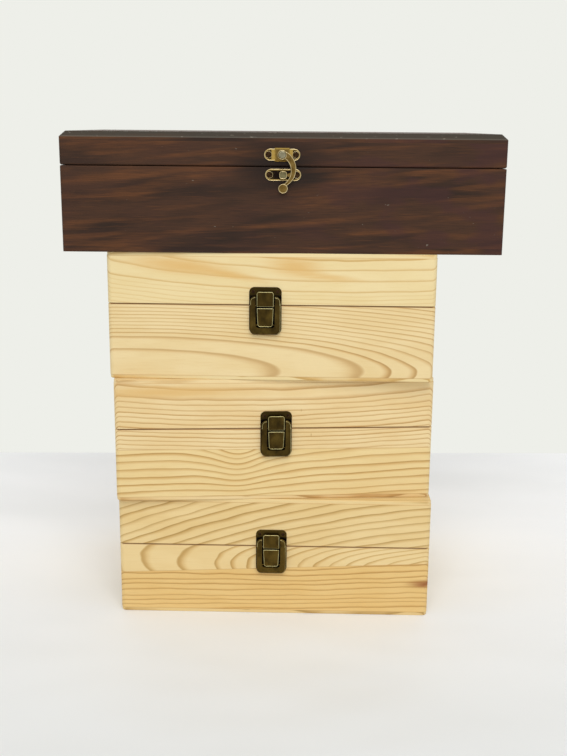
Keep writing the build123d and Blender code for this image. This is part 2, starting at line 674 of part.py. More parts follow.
def main():
    """Write every node of every box."""
    os.makedirs("parts", exist_ok=True)
    for box in PINE_BOXES:
        for name, shape in pine_nodes(box).items():
            export_step(shape.moved(box.place), f"parts/{box.name}_{name}.step")
    for name, shape in dark_nodes(DARK_BOX).items():
        export_step(shape.moved(DARK_BOX.place), f"parts/{DARK_BOX.name}_{name}.step")
    print_joints()


main()
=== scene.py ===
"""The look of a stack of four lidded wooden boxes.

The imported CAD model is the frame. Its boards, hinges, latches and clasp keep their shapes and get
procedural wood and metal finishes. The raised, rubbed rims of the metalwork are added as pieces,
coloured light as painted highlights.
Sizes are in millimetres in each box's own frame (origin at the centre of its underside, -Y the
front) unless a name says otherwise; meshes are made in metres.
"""
from __future__ import annotations

import json
import logging
import math
from dataclasses import dataclass, replace
from enum import Enum

import bmesh
import bpy
from mathutils import Matrix, Vector

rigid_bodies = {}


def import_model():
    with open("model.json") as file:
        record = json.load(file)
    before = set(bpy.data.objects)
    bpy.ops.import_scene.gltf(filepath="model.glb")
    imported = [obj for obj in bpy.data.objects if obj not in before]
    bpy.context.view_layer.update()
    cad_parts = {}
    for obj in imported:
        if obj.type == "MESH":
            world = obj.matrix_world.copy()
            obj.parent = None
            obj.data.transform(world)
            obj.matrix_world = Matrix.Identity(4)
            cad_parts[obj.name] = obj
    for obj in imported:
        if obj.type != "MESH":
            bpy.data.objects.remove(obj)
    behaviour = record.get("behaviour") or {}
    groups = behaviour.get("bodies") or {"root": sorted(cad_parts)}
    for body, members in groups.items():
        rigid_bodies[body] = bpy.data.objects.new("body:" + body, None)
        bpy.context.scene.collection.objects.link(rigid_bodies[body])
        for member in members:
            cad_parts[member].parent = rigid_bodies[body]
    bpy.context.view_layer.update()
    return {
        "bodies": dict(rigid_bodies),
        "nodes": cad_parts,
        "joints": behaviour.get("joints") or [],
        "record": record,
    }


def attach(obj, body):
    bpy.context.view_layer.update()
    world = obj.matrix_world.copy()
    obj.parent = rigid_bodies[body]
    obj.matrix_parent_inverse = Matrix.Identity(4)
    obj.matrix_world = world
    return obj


LOG = logging.getLogger("boxes")
MM = 0.001
WOOD_RELIEF = 0.00018
METAL_RELIEF = 0.00003

Colour = tuple[float, float, float]
Point = tuple[float, float]
Fade = tuple[float, float]
Shade = Colour | bpy.types.NodeSocket


# ------------------------------------------------------------------ colours and shader maths


def srgb(red: int, green: int, blue: int) -> Colour:
    """Turn a colour of 0 to 255 into the linear values that a shader takes.

    Args:
        red: Red, 0 to 255.
        green: Green, 0 to 255.
        blue: Blue, 0 to 255.

    Returns:
        The three linear values.
    """

    def linear(part: int) -> float:
        """One channel made linear."""
        share = part / 255
        return share / 12.92 if share <= 0.04045 else ((share + 0.055) / 1.055) ** 2.4

    return linear(red), linear(green), linear(blue)


class Value:
    """A number that varies over a surface, with arithmetic that adds Math nodes."""

    def __init__(self, graph: Graph, socket: bpy.types.NodeSocket) -> None:
        """Keep the graph and the socket that carries the number."""
        self.graph = graph
        self.socket = socket

    def __add__(self, other: Number) -> Value:
        """Sum."""
        return self.graph.maths("ADD", self, other)

    __radd__ = __add__

    def __sub__(self, other: Number) -> Value:
        """Difference."""
        return self.graph.maths("SUBTRACT", self, other)

    def __rsub__(self, other: Number) -> Value:
        """Difference from a number."""
        return self.graph.maths("SUBTRACT", other, self)

    def __mul__(self, other: Number) -> Value:
        """Product."""
        return self.graph.maths("MULTIPLY", self, other)

    def __truediv__(self, other: Number) -> Value:
        """Quotient."""
        return self.graph.maths("DIVIDE", self, other)

    def __abs__(self) -> Value:
        """Size without sign."""
        return self.graph.maths("ABSOLUTE", self)

    def __gt__(self, other: Number) -> Value:
        """1 where this is the greater, else 0."""
        return self.graph.maths("GREATER_THAN", self, other)

    def __lt__(self, other: Number) -> Value:
        """1 where this is the lesser, else 0."""
        return self.graph.maths("LESS_THAN", self, other)

    def squared(self) -> Value:
        """Times itself."""
        return self * self

    def root(self) -> Value:
        """Square root."""
        return self.graph.maths("SQRT", self)

    def whole(self) -> Value:
        """The whole part."""
        return self.graph.maths("FLOOR", self)

    def part(self) -> Value:
        """The part after the point."""
        return self.graph.maths("FRACT", self)

    def sign(self) -> Value:
        """-1, 0 or 1."""
        return self.graph.maths("SIGN", self)

    def at_most(self, other: Number) -> Value:
        """The smaller of two."""
        return self.graph.maths("MINIMUM", self, other)

    def at_least(self, other: Number) -> Value:
        """The greater of two."""
        return self.graph.maths("MAXIMUM", self, other)

    def eased(self, low: Number, high: Number) -> Value:
        """Rise smoothly from 0 at low to 1 at high.

        Args:
            low: Value that gives 0.
            high: Value that gives 1.

        Returns:
            The eased value.
        """
        node = self.graph.node(
            "ShaderNodeMapRange",
            {"interpolation_type": "SMOOTHSTEP"},
            {"Value": self, "From Min": low, "From Max": high},
        )
        return Value(self.graph, node.outputs["Result"])


Number = Value | float
Board = tuple[Value, Value, Value]
Painted = tuple[dict, Value]


class Graph:
    """A material's node tree, built by plain method calls.

    COLOUR_MIX and NUMBER_MIX are the places of a Mix node's two inputs and its result.
    """

    COLOUR_MIX = (6, 7, 2)
    NUMBER_MIX = (2, 3, 0)

    def __init__(self, name: str) -> None:
        """Make a material with an output and a Principled shader.

        Args:
            name: The material's name.
        """
        self.material = bpy.data.materials.new(name)
        self.material.use_nodes = True
        self.tree = self.material.node_tree
        self.tree.nodes.clear()
        self.output = self.tree.nodes.new("ShaderNodeOutputMaterial")
        self.shader = self.tree.nodes.new("ShaderNodeBsdfPrincipled")
        self.tree.links.new(self.shader.outputs[0], self.output.inputs["Surface"])

    def node(
        self, kind: str, settings: dict | None = None, sockets: dict | None = None
    ) -> bpy.types.Node:
        """Add a node.

        Args:
            kind: The node's type name.
            settings: Its properties, set first.
            sockets: Values or links for its sockets, by name or by place.

        Returns:
            The new node.
        """
        node = self.tree.nodes.new(kind)
        for key, value in (settings or {}).items():
            setattr(node, key, value)
        for key, value in (sockets or {}).items():
            self.feed(node.inputs[key], value)
        return node

    def feed(self, socket: bpy.types.NodeSocket, value: Number | Shade) -> None:
        """Link a socket or set its value.

        Args:
            socket: The input.
            value: A Value, a socket, a number, a colour or a vector.
        """
        if isinstance(value, Value):
            self.tree.links.new(value.socket, socket)
        elif isinstance(value, bpy.types.NodeSocket):
            self.tree.links.new(value, socket)
        elif socket.type == "RGBA" and len(value) == 3:
            socket.default_value = (*value, 1)
        else:
            socket.default_value = value

    def maths(self, operation: str, *values: Number) -> Value:
        """One Math node on values or numbers."""
        node = self.node("ShaderNodeMath", {"operation": operation}, dict(enumerate(values)))
        return Value(self, node.outputs[0])

    def vector(self, x: Number, y: Number, z: Number) -> bpy.types.NodeSocket:
        """Three values as one vector."""
        return self.node("ShaderNodeCombineXYZ", {}, {"X": x, "Y": y, "Z": z}).outputs[0]

    def coordinates(self) -> bpy.types.NodeSocket:
        """The object's own coordinates, in metres."""
        return self.node("ShaderNodeTexCoord").outputs["Object"]

    def split(self, vector: bpy.types.NodeSocket) -> tuple[Value, Value, Value]:
        """A vector's three parts."""
        node = self.node("ShaderNodeSeparateXYZ", {}, {0: vector})
        return tuple(Value(self, node.outputs[i]) for i in range(3))

    def place(self, site: Site) -> tuple[Value, Value, Value]:
        """Millimetre coordinates in a box's own frame, from the object's coordinates.

        Args:
            site: Where the box stands.

        Returns:
            The three coordinates.
        """
        turn = Matrix.Rotation(-site.yaw, 3, "Z")
        shift = -(turn @ Vector((site.x, site.y, site.z)))
        mapped = self.node(
            "ShaderNodeMapping",
            {"vector_type": "POINT"},
            {
                "Vector": self.coordinates(),
                "Location": tuple(shift),
                "Rotation": (0.0, 0.0, -site.yaw),
                "Scale": (1 / MM, 1 / MM, 1 / MM),
            },
        )
        return self.split(mapped.outputs[0])

    def noise(
        self, x: Number, y: Number, z: Number, detail: float = 2.0, roughness: float = 0.5
    ) -> Value:
        """Smooth noise from 0 to 1 at a point given in noise lengths.

        Args:
            x: First coordinate.
            y: Second coordinate.
            z: Third coordinate.
            detail: Octaves.
            roughness: Weight of the finer octaves.

        Returns:
            The noise.
        """
        node = self.node(
            "ShaderNodeTexNoise",
            {"noise_dimensions": "3D"},
            {"Vector": self.vector(x, y, z), "Scale": 1.0, "Detail": detail,
             "Roughness": roughness},
        )
        return Value(self, node.outputs[0])

    def streaks(
        self,
        board: Board,
        length: float,
        thickness: float,
        shift: float | None = None,
        sink: float | None = None,
        detail: float = 2.0,
        roughness: float = 0.5,
    ) -> Value:
        """Noise drawn out along a board.

        Args:
            board: Place along the board, across it and through it.
            length: Length of a streak, in millimetres.
            thickness: Its thickness, in millimetres.
            shift: What is added along the board, in streak lengths.
            sink: What is added through the board, in streak thicknesses.
            detail: Octaves.
            roughness: Weight of the finer octaves.

        Returns:
            The noise.
        """
        along, across, through = board
        along = along / length
        if shift is not None:
            along = along + shift
        through = through / thickness
        if sink is not None:
            through = through + sink
        return self.noise(along, across / thickness, through, detail, roughness)

    def chance(self, value: Value) -> Value:
        """A steady random number, 0 to 1, for each different value."""
        node = self.node("ShaderNodeTexWhiteNoise", {"noise_dimensions": "1D"}, {"W": value})
        return Value(self, node.outputs[0])

    def mix(self, share: Number, first: Shade, second: Shade) -> bpy.types.NodeSocket:
        """Blend two colours, the first where share is 0 and the second where it is 1."""
        return self._blend("RGBA", self.COLOUR_MIX, share, first, second)

    def choose(self, share: Value, first: Number, second: Number) -> Value:
        """A number that is the first where share is 0 and the second where it is 1."""
        return Value(self, self._blend("FLOAT", self.NUMBER_MIX, share, first, second))

    def _blend(
        self,
        kind: str,
        places: tuple[int, int, int],
        share: Number,
        first: Number | Shade,
        second: Number | Shade,
    ) -> bpy.types.NodeSocket:
        """Blend two values of one kind.

        Args:
            kind: What the Mix node mixes.
            places: The places of its two inputs and its result.
            share: 0 gives the first value, 1 the second.
            first: The first value or link.
            second: The second value or link.

        Returns:
            The blended value.
        """
        low, high, result = places
        settings = {"data_type": kind, "clamp_factor": True}
        node = self.node("ShaderNodeMix", settings, {"Factor": share, low: first, high: second})
        return node.outputs[result]

    def finish(self, sockets: dict, height: Value, relief: float) -> bpy.types.Material:
        """Feed the shader and its bump.

        Args:
            sockets: The Principled shader's values and links.
            height: Height of the surface, about 0 to 1.
            relief: What a height of 1 stands for, in metres.

        Returns:
            The material.
        """
        bump = self.node("ShaderNodeBump", {}, {"Height": height, "Distance": relief,
                                               "Strength": 1.0})
        for key, value in sockets.items():
            self.feed(self.shader.inputs[key], value)
        self.feed(self.shader.inputs["Normal"], bump.outputs[0])
        return self.material


class Finish:
    """The look of one kind of surface."""

    relief: float

    def build(self, name: str) -> bpy.types.Material:
        """Make the material.

        Args:
            name: The material's name.

        Returns:
            The material.
        """
        graph = Graph(name)
        sockets, surface = self.paint(graph)
        return graph.finish(sockets, surface, self.relief)

    def paint(self, graph: Graph) -> Painted:
        """The shader's values and the surface's height, which each kind of finish gives."""
        raise NotImplementedError


# ------------------------------------------------------------------ where the boxes stand


@dataclass(frozen=True)
class Site:
    """A box's place in the stack and its size, in millimetres and radians."""

    name: str
    x: float
    y: float
    z: float
    yaw: float
    width: float
    depth: float
    base: float
    height: float
    wall: float
    panel: float
    metal_x: float

    @property
    def seat(self) -> Matrix:
        """Matrix from the box's own frame, in metres, to the stack's frame."""
        place = Vector((self.x, self.y, self.z)) * MM
        return Matrix.Translation(place) @ Matrix.Rotation(self.yaw, 4, "Z")

    @property
    def face(self) -> Matrix:
        """Matrix from the metalwork's frame, at the seam on the front, to the stack's frame."""
        corner = Vector((self.metal_x, -self.depth / 2, self.base)) * MM
        return self.seat @ Matrix.Translation(corner)


PINE_WIDTH = 280.0
PINE_DEPTH = 205.0
PINE_BASE = 65.4
PINE_HEIGHT = 110.0
PINE_WALL = 9.0
PINE_PANEL = 3.2


def pine_site(name: str, level: int, x: float, y: float, yaw: float, metal_x: float) -> Site:
    """One pine box's place, by its level in the stack and its turn in degrees."""
    return Site(name, x, y, level * PINE_HEIGHT, math.radians(yaw), PINE_WIDTH, PINE_DEPTH,
                PINE_BASE, PINE_HEIGHT, PINE_WALL, PINE_PANEL, metal_x)


LOWER = pine_site("lower", 0, x=0.0, y=0.0, yaw=0.0, metal_x=-2.6)
MIDDLE = pine_site("middle", 1, x=-8.6, y=1.6, yaw=4.76, metal_x=1.0)
UPPER = pine_site("upper", 2, x=-3.9, y=-1.6, yaw=0.0, metal_x=-5.0)
DARK = Site("dark", x=3.2, y=-3.7, z=3 * PINE_HEIGHT, yaw=math.radians(1.25), width=370.0,
            depth=200.0, base=71.1, height=99.0, wall=10.0, panel=5.0, metal_x=-1.0)


# ------------------------------------------------------------------ wood


class Cut(Enum):
    """How a board lies in its box."""

    LONG = "front or back board"
    END = "end board"
    FRAME = "front, back and end boards in one node"
    TOP = "top panel"
    FLOOR = "floor panel"


@dataclass(frozen=True)
class Rings:
    """Growth rings of one stave: stretched shells about a point, in millimetres.

    The point lies along the board, up it and out of its face. Rings outside the core radius are
    one spacing apart, and those inside it one core spacing. A dip bends them down in one place.
    Drift and ripple are slow and quick waves in them, as length, thickness and size. Latewood
    starts at the band's share of a ring and ends at the crest.
    """

    along: float
    height: float
    depth: float
    stretch: float
    spacing: float
    core: float
    core_spacing: float
    rise: float = 0.0
    wander: float = 1.0
    uneven: float = 0.5
    dip: float = 0.0
    dip_along: float = 0.0
    dip_width: float = 30.0
    band: float = 0.55
    core_band: float = 0.55
    strength: float = 1.0
    core_strength: float = 1.0
    seed: float = 0.0
    dip_height: float = 47.0
    drift: tuple[float, float, float] = (55.0, 14.0, 3.0)
    ripple: tuple[float, float, float] = (15.0, 7.0, 0.6)
    crisp: float = 0.8
    crest: float = 0.93


@dataclass(frozen=True)
class Stave:
    """One strip of pine: its rings and the colours of its pale, warm and dark wood."""

    rings: Rings
    pale: Colour
    warm: Colour
    late: Colour


@dataclass(frozen=True)
class Mark:
    """A knot, or a patch where a ring grazes the face of a board, in millimetres."""

    along: float
    height: float
    length: float
    width: float
    colour: Colour
    strength: float = 0.85
    tilt: float = 0.0


@dataclass(frozen=True)
class PineFinish(Finish):
    """Bare planed pine: growth rings, fibres and a low sheen.

    A fade is the pair of distances, in millimetres, between which a line comes or goes.
    """

    site: Site
    cut: Cut
    stave: Stave
    low_stave: Stave | None = None
    glue_height: float = 0.0
    glue_rise: float = 0.0
    marks: tuple[Mark, ...] = ()
    # The seam colour is painted shade on the edges at the lid seam.
    seam_shade_colour: Colour = srgb(150, 104, 62)
    joint_colour: Colour = srgb(186, 140, 84)
    roughness: float = 0.5
    relief: float = WOOD_RELIEF
    glue_edge: Fade = (-0.12, 0.12)
    glue_fade: Fade = (0.1, 0.5)
    seam_rise: float = 0.25
    seam_fade: Fade = (0.35, 1.0)
    joint_fade: Fade = (0.15, 0.6)
    skin_fade: Fade = (-1.6, -0.4)
    mark_depth: float = -6.0

    def paint(self, graph: Graph) -> Painted:
        """Colour the boards.

        Args:
            graph: The material's graph.

        Returns:
            The shader's values and the surface's height.
        """
        board = self._board_frame(graph)
        along, height, _ = board
        fibre = graph.streaks(board, length=24, thickness=0.5, detail=3.0, roughness=0.62)
        pore = graph.streaks(board, length=6, thickness=0.28)
        body, line = self._stave_colour(graph, self.stave, board, fibre)
        if self.low_stave:
            low_body, low_line = self._stave_colour(graph, self.low_stave, board, fibre)
            glue = height - along * self.glue_rise - self.glue_height
            above = glue.eased(*self.glue_edge)
            body = graph.mix(above, low_body, body)
            line = graph.choose(above, low_line, line)
            glue_line = (1 - abs(glue).eased(*self.glue_fade)) * 0.4
            body = graph.mix(glue_line, body, self.joint_colour)
        if self.cut in (Cut.LONG, Cut.END, Cut.FRAME):
            body = self._edge_lines(graph, body, board)
        for mark in self.marks:
            body = graph.mix(self._mark_shade(mark, board, fibre), body, mark.colour)
        rough = self.roughness + fibre * 0.14 - line * 0.08
        surface = fibre * 0.5 + pore * 0.2 - line * 0.3
        return {"Base Color": body, "Roughness": rough, "Specular IOR Level": 0.3}, surface

    def _mark_shade(self, mark: Mark, board: Board, fibre: Value) -> Value:
        """How strongly a mark shows.

        Args:
            mark: The mark.
            board: Place along the board, across it and out of it.
            fibre: The fibres' noise, which frays the mark's edge.

        Returns:
            The mark's share of the colour.
        """
        along, height, depth = board
        run = along - mark.along
        rise = height - mark.height - run * mark.tilt
        spot = (run / mark.length).squared() + (rise / mark.width).squared()
        inside = 1 - (spot.root() + fibre * 0.9).eased(0.5, 1.5)
        return inside * (depth > self.mark_depth) * mark.strength

    def _edge_lines(
        self, graph: Graph, body: bpy.types.NodeSocket, board: Board
    ) -> bpy.types.NodeSocket:
        """Paint shade on the outer edges at the lid seam, and darken the joints with the panels.

        Args:
            graph: The material's graph.
            body: The wood's colour.
            board: Place along the board, across it and out of it.

        Returns:
            The colour with its edges darkened.
        """
        _, height, depth = board
        skin = depth.eased(*self.skin_fade)
        seam = abs(height - self.site.base - self.seam_rise)
        # Painted shade: the outer edges next to the lid seam darken, widening the seam's shadow
        # line.
        body = graph.mix((1 - seam.eased(*self.seam_fade)) * skin * 0.8, body, self.seam_shade_colour)
        top_joint = abs(height - self.site.height + self.site.panel)
        low_joint = abs(height - self.site.panel)
        joint = 1 - top_joint.at_most(low_joint).eased(*self.joint_fade)
        return graph.mix(joint * skin * 0.45, body, self.joint_colour)

    def _board_frame(self, graph: Graph) -> Board:
        """Find the place on a board; the ends and panels are shifted off the rings' centre.

        Args:
            graph: The material's graph.

        Returns:
            Place along the board, across its face and out of it (0 at the face).
        """
        x, y, z = graph.place(self.site)
        half_x, half_y = self.site.width / 2, self.site.depth / 2
        if self.cut is Cut.TOP:
            return x + 40, y + 110, z - self.site.height
        if self.cut is Cut.FLOOR:
            return x - 35, y + 90, 0 - z
        long_along, long_out = x * (0 - y).sign(), abs(y) - half_y
        end_along, end_out = y * x.sign() - 35, abs(x) - half_x
        if self.cut is Cut.LONG:
            return long_along, z, long_out
        if self.cut is Cut.END:
            return end_along, z, end_out
        is_long = abs(y) > half_y - self.site.wall
        return (
            graph.choose(is_long, end_along, long_along),
            z,
            graph.choose(is_long, end_out, long_out),
        )

    def _stave_colour(
        self, graph: Graph, stave: Stave, board: Board, fibre: Value
    ) -> tuple[bpy.types.NodeSocket, Value]:
        """Colour one stave.

        Args:
            graph: The material's graph.
            stave: The stave.
            board: Place along the board, across it and out of it.
            fibre: The fibres' noise.

        Returns:
            The colour, and the latewood's strength.
        """
        line, edge, luck = self._latewood(graph, stave.rings, board)
        cloud = graph.streaks(board, length=60, thickness=16, shift=stave.rings.seed)
        warmth = cloud.eased(0.34, 0.68) * 0.6 + luck * 0.3
        body = graph.mix(warmth, stave.pale, stave.warm)
        body = graph.mix(fibre.eased(0.5, 0.8) * 0.28, body, stave.late)
        body = graph.mix(line, body, stave.late)
        dark = tuple(channel * 0.76 for channel in stave.late)
        return graph.mix(edge * 0.65, body, dark), line

    @staticmethod
    def _latewood(graph: Graph, rings: Rings, board: Board) -> tuple[Value, Value, Value]:
        """Find the latewood.

        Args:
            graph: The material's graph.
            rings: The growth rings.
            board: Place along the board, across it and out of it.

        Returns:
            Its strength, its crisp outer edge, and a chance number for each ring.
        """
        along, height, depth = board
        run = (along - rings.along) / rings.stretch
        rise = height - rings.height - along * rings.rise
        if rings.dip:
            hollow = ((along - rings.dip_along) / rings.dip_width).squared()
            depth_share = (height / rings.dip_height).at_most(1.0)
            rise = rise + depth_share * rings.dip / (1 + hollow)
        distance = (run.squared() + rise.squared() + (depth - rings.depth).squared()).root()
        for length, thickness, size in (rings.drift, rings.ripple):
            wave = graph.streaks(board, length, thickness, shift=rings.seed, detail=1.0)
            distance = distance + (wave - 0.5) * (rings.wander * size)
        beyond = distance - rings.core
        outside = beyond > 0
        count = graph.choose(outside, beyond / rings.core_spacing, beyond / rings.spacing) + 60
        pull = graph.noise(count / 2.3, rings.seed + 7, 0.5, 1.0)
        count = count + (pull - 0.5) * rings.uneven
        luck = graph.chance(count.whole() + rings.seed * 17)
        place = count.part()
        drop = 1 - place.eased(rings.crest, 1.0)
        band = graph.choose(outside, rings.core_band, rings.band)
        swell = place.eased(band, rings.crest) * drop
        crisp = place.eased(rings.crisp, rings.crest) * drop
        strength = graph.choose(outside, rings.core_strength, rings.strength)
        power = (luck * 0.5 + 0.55) * strength
        return swell * power, crisp * power, luck


@dataclass(frozen=True)
class DarkWoodFinish(Finish):
    """Dark brown stained wood: rubbed red-brown streaks, scuffs and a chipped bevel.

    The bevel is greyed as a painted reflection, and the front round the clasp is darkened as
    painted shadow with hand dirt.
    """

    cut: Cut
    ground: Colour = srgb(70, 46, 32)
    streak: Colour = srgb(104, 64, 36)
    black: Colour = srgb(40, 29, 23)
    violet: Colour = srgb(66, 40, 38)
    # Near-black at the clasp: painted shadow of the clasp, with hand dirt.
    grime_and_clasp_shade: Colour = srgb(30, 21, 17)
    # The bevel's greyed colour is a painted reflection.
    bevel_reflection: Colour = srgb(64, 60, 52)
    chip: Colour = srgb(150, 142, 128)
    slant: float = 0.085
    fine_slant: float = 0.03
    grime_and_shade_half: Point = (42.0, 26.0)
    bevel: float = 4.5
    bevel_run: float = 1.2
    seed: float = 0.0
    relief: float = WOOD_RELIEF

    def paint(self, graph: Graph) -> Painted:
        """Colour the boards.

        Args:
            graph: The material's graph.

        Returns:
            The shader's values and the surface's height.
        """
        x, y, z = graph.place(DARK)
        board = self._board_frame(x, y, z)
        along, up, into = board
        tilted = (along, up - along * self.slant, into)
        nearly_level = (along, up - along * self.fine_slant, into)
        broad = graph.streaks(tilted, length=80, thickness=7, shift=self.seed)
        shade = graph.streaks(tilted, length=95, thickness=17, shift=self.seed * 2)
        grain = graph.streaks(nearly_level, length=26, thickness=1.5, shift=self.seed, detail=3.0,
                              roughness=0.6)
        fine = graph.streaks(board, length=16, thickness=0.55, sink=self.seed, detail=3.0,
                             roughness=0.6)
        blotch = graph.streaks(board, length=40, thickness=20, shift=9, sink=self.seed)
        body = graph.mix(shade.eased(0.3, 0.6) * 0.85 + 0.15, self.black, self.ground)
        body = graph.mix(broad.eased(0.45, 0.75) * (grain * 0.7 + 0.35), body, self.streak)
        body = graph.mix(grain.eased(0.52, 0.75) * 0.32, body, self.streak)
        body = graph.mix((1 - fine.eased(0.3, 0.58)) * 0.45, body, self.black)
        violet = blotch.eased(0.46, 0.62) * (x.eased(-60, 140) * 0.5 + 0.1)
        body = graph.mix(violet, body, self.violet)
        # Painted shadow round the clasp, mixed with hand dirt.
        if self.cut is Cut.LONG:
            body = graph.mix(self._grime_and_clasp_shade(x, z), body, self.grime_and_clasp_shade)
        fleck = graph.streaks(board, length=3.0, thickness=1.6, sink=self.seed)
        rare = graph.streaks(board, length=14, thickness=9, shift=5, detail=1.0)
        scuff = fleck.eased(0.7, 0.77) * rare.eased(0.62, 0.7)
        body = graph.mix(scuff * 0.5, body, self.chip)
        if self.cut is Cut.TOP:
            body = self._bevel_colour(graph, body, x, y, z)
        rough = 0.42 + blotch * 0.16 + fine * 0.1
        surface = fine * 0.5 + grain * 0.3 - scuff * 0.6
        return {"Base Color": body, "Roughness": rough, "Specular IOR Level": 0.16}, surface

    def _grime_and_clasp_shade(self, x: Value, z: Value) -> Value:
        """Find the darker wood round the clasp: painted shadow of the clasp, with hand dirt.

        Args:
            x: Place along the front.
            z: Place up the front.

        Returns:
            The grime's share of the colour.
        """
        half_x, half_z = self.grime_and_shade_half
        across = ((x - DARK.metal_x) / half_x).squared()
        up = ((z - DARK.base) / half_z).squared()
        return (1 - (across + up).root().eased(0.3, 1.3)) * 0.8

    def _board_frame(self, x: Value, y: Value, z: Value) -> Board:
        """Find the place on a board.

        Args:
            x: Place across the box.
            y: Place back in the box.
            z: Place up the box.

        Returns:
            Place along the board, across it and into it.
        """
        if self.cut is Cut.END:
            return y, z, x
        if self.cut is Cut.FLOOR:
            return x, y, z
        if self.cut is Cut.TOP:
            return x, z + y * 0.9, y * 0.3
        return x, z, y

    def _bevel_colour(
        self, graph: Graph, body: bpy.types.NodeSocket, x: Value, y: Value, z: Value
    ) -> bpy.types.NodeSocket:
        """Tint the lid's bevel greyish as a painted reflection, with chips and a lighter line along
        its lower edge.

        Args:
            graph: The material's graph.
            body: The wood's colour.
            x: Place across the box.
            y: Place back in the box.
            z: Place up the box.

        Returns:
            The colour with its bevel greyed.
        """
        above = z - (DARK.height - self.bevel)
        wave = graph.noise(x / 9, y / 9, z / 2.5, 2.0)
        inside_x = DARK.width / 2 - abs(x)
        inside_y = DARK.depth / 2 - abs(y)
        inside = inside_x.at_most(inside_y)
        slope = 1 - inside.eased(self.bevel, self.bevel + self.bevel_run)
        band = above.eased(-0.4, 0.3) * slope
        # Painted reflection on the bevel band.
        body = graph.mix(band * (wave * 0.4 + 0.6), body, self.bevel_reflection)
        chips = graph.noise(x / 5, y / 5, z / 2, 2.0).eased(0.66, 0.76)
        lower_edge = 1 - abs(above).eased(0.2, 1.1)
        return graph.mix((lower_edge * 0.2 + chips * 0.4) * band, body, self.chip)


# ------------------------------------------------------------------ metal


@dataclass(frozen=True)
class MetalFinish(Finish):
    """Plated metal: a clouded body, tarnish and a soft gloss."""

    body: Colour
    bright: Colour
    tarnish: Colour
    roughness: float
    metallic: float = 0.95
    cloud: float = 6.0
    contrast: float = 0.45
    relief: float = METAL_RELIEF

    def paint(self, graph: Graph) -> Painted:
        """Colour the metal.

        Args:
            graph: The material's graph.

        Returns:
            The shader's values and the surface's height.
        """
        x, y, z = (part / MM for part in graph.split(graph.coordinates()))
        patch = graph.noise(x / self.cloud, y / self.cloud, z / self.cloud, 3.0, 0.6)
        brush = graph.noise(x / 0.35, y / 1.5, z / 6.0, 2.0)
        body = graph.mix(patch.eased(0.4, 0.7) * self.contrast, self.body, self.bright)
        body = graph.mix((1 - patch.eased(0.3, 0.5)) * self.contrast, body, self.tarnish)
        rough = self.roughness + (patch - 0.5) * 0.2 + brush * 0.06
        surface = patch * 0.6 + brush * 0.4
        return {"Base Color": body, "Roughness": rough, "Metallic": self.metallic}, surface


@dataclass(frozen=True)
class LatchFinish(Finish):
    """Antique bronze: olive wear with painted sheen, near-black tarnish with painted shade.

    The painted shade lies close to the wood and in the slot.

    The fades are distances out of the box or up from the seam, in millimetres. The slot lies
    between the lid's tongue and the link.
    """

    site: Site
    body: Colour
    # The lighter olive is wear with painted sheen; the near-black is tarnish with painted shade.
    wear_and_sheen: Colour = srgb(104, 84, 36)
    patina_and_shade: Colour = srgb(9, 6, 3)
    roughness: float = 0.36
    metallic: float = 0.92
    relief: float = METAL_RELIEF
    raised_fade: Fade = (1.0, 4.3)
    rubbed_fade: Fade = (4.2, 4.8)
    shelf_fade: Fade = (7.5, 10.5)
    slot_low: Fade = (-2.3, -1.8)
    slot_top: Fade = (-0.5, -0.1)
    slot_out: float = 3.9
    slot_half: float = 7.2

    def paint(self, graph: Graph) -> Painted:
        """Colour the latch.

        Args:
            graph: The material's graph.

        Returns:
            The shader's values and the surface's height.
        """
        x, y, z = graph.place(self.site)
        out = 0 - y - self.site.depth / 2
        raised = out.eased(*self.raised_fade)
        rubbed = out.eased(*self.rubbed_fade)
        cloud = graph.noise(x / 7, y / 7, z / 9, 2.0)
        brush = graph.noise(x / 0.3, y / 2, z / 8, 2.0)
        level = z - self.site.base
        shelf = level.eased(*self.shelf_fade)
        slot = level.eased(*self.slot_low) * (1 - level.eased(*self.slot_top))
        slot = slot * (out < self.slot_out)
        slot = slot * (abs(x - self.site.metal_x) < self.slot_half)
        # Painted shade: near-black close to the wood and between the parts, olive on the raised
        # parts and on the plate above the lever.
        body = graph.mix(raised.at_least(shelf * 0.75), self.patina_and_shade, self.body)
        # Painted sheen with wear on the raised parts, clouded and in vertical brush streaks.
        body = graph.mix(cloud.eased(0.45, 0.75) * raised * 0.5, body, self.wear_and_sheen)
        body = graph.mix(brush.eased(0.5, 0.75) * raised * 0.22, body, self.wear_and_sheen)
        body = graph.mix((1 - cloud.eased(0.3, 0.5)) * 0.4, body, self.patina_and_shade)
        # Painted shade in the slot between the tongue and the link.
        body = graph.mix(slot * 0.9, body, self.patina_and_shade)
        rough = self.roughness + (cloud - 0.5) * 0.2 + brush * 0.05 - rubbed * 0.06
        surface = brush * 0.5 + cloud * 0.5
        return {"Base Color": body, "Roughness": rough, "Metallic": self.metallic}, surface


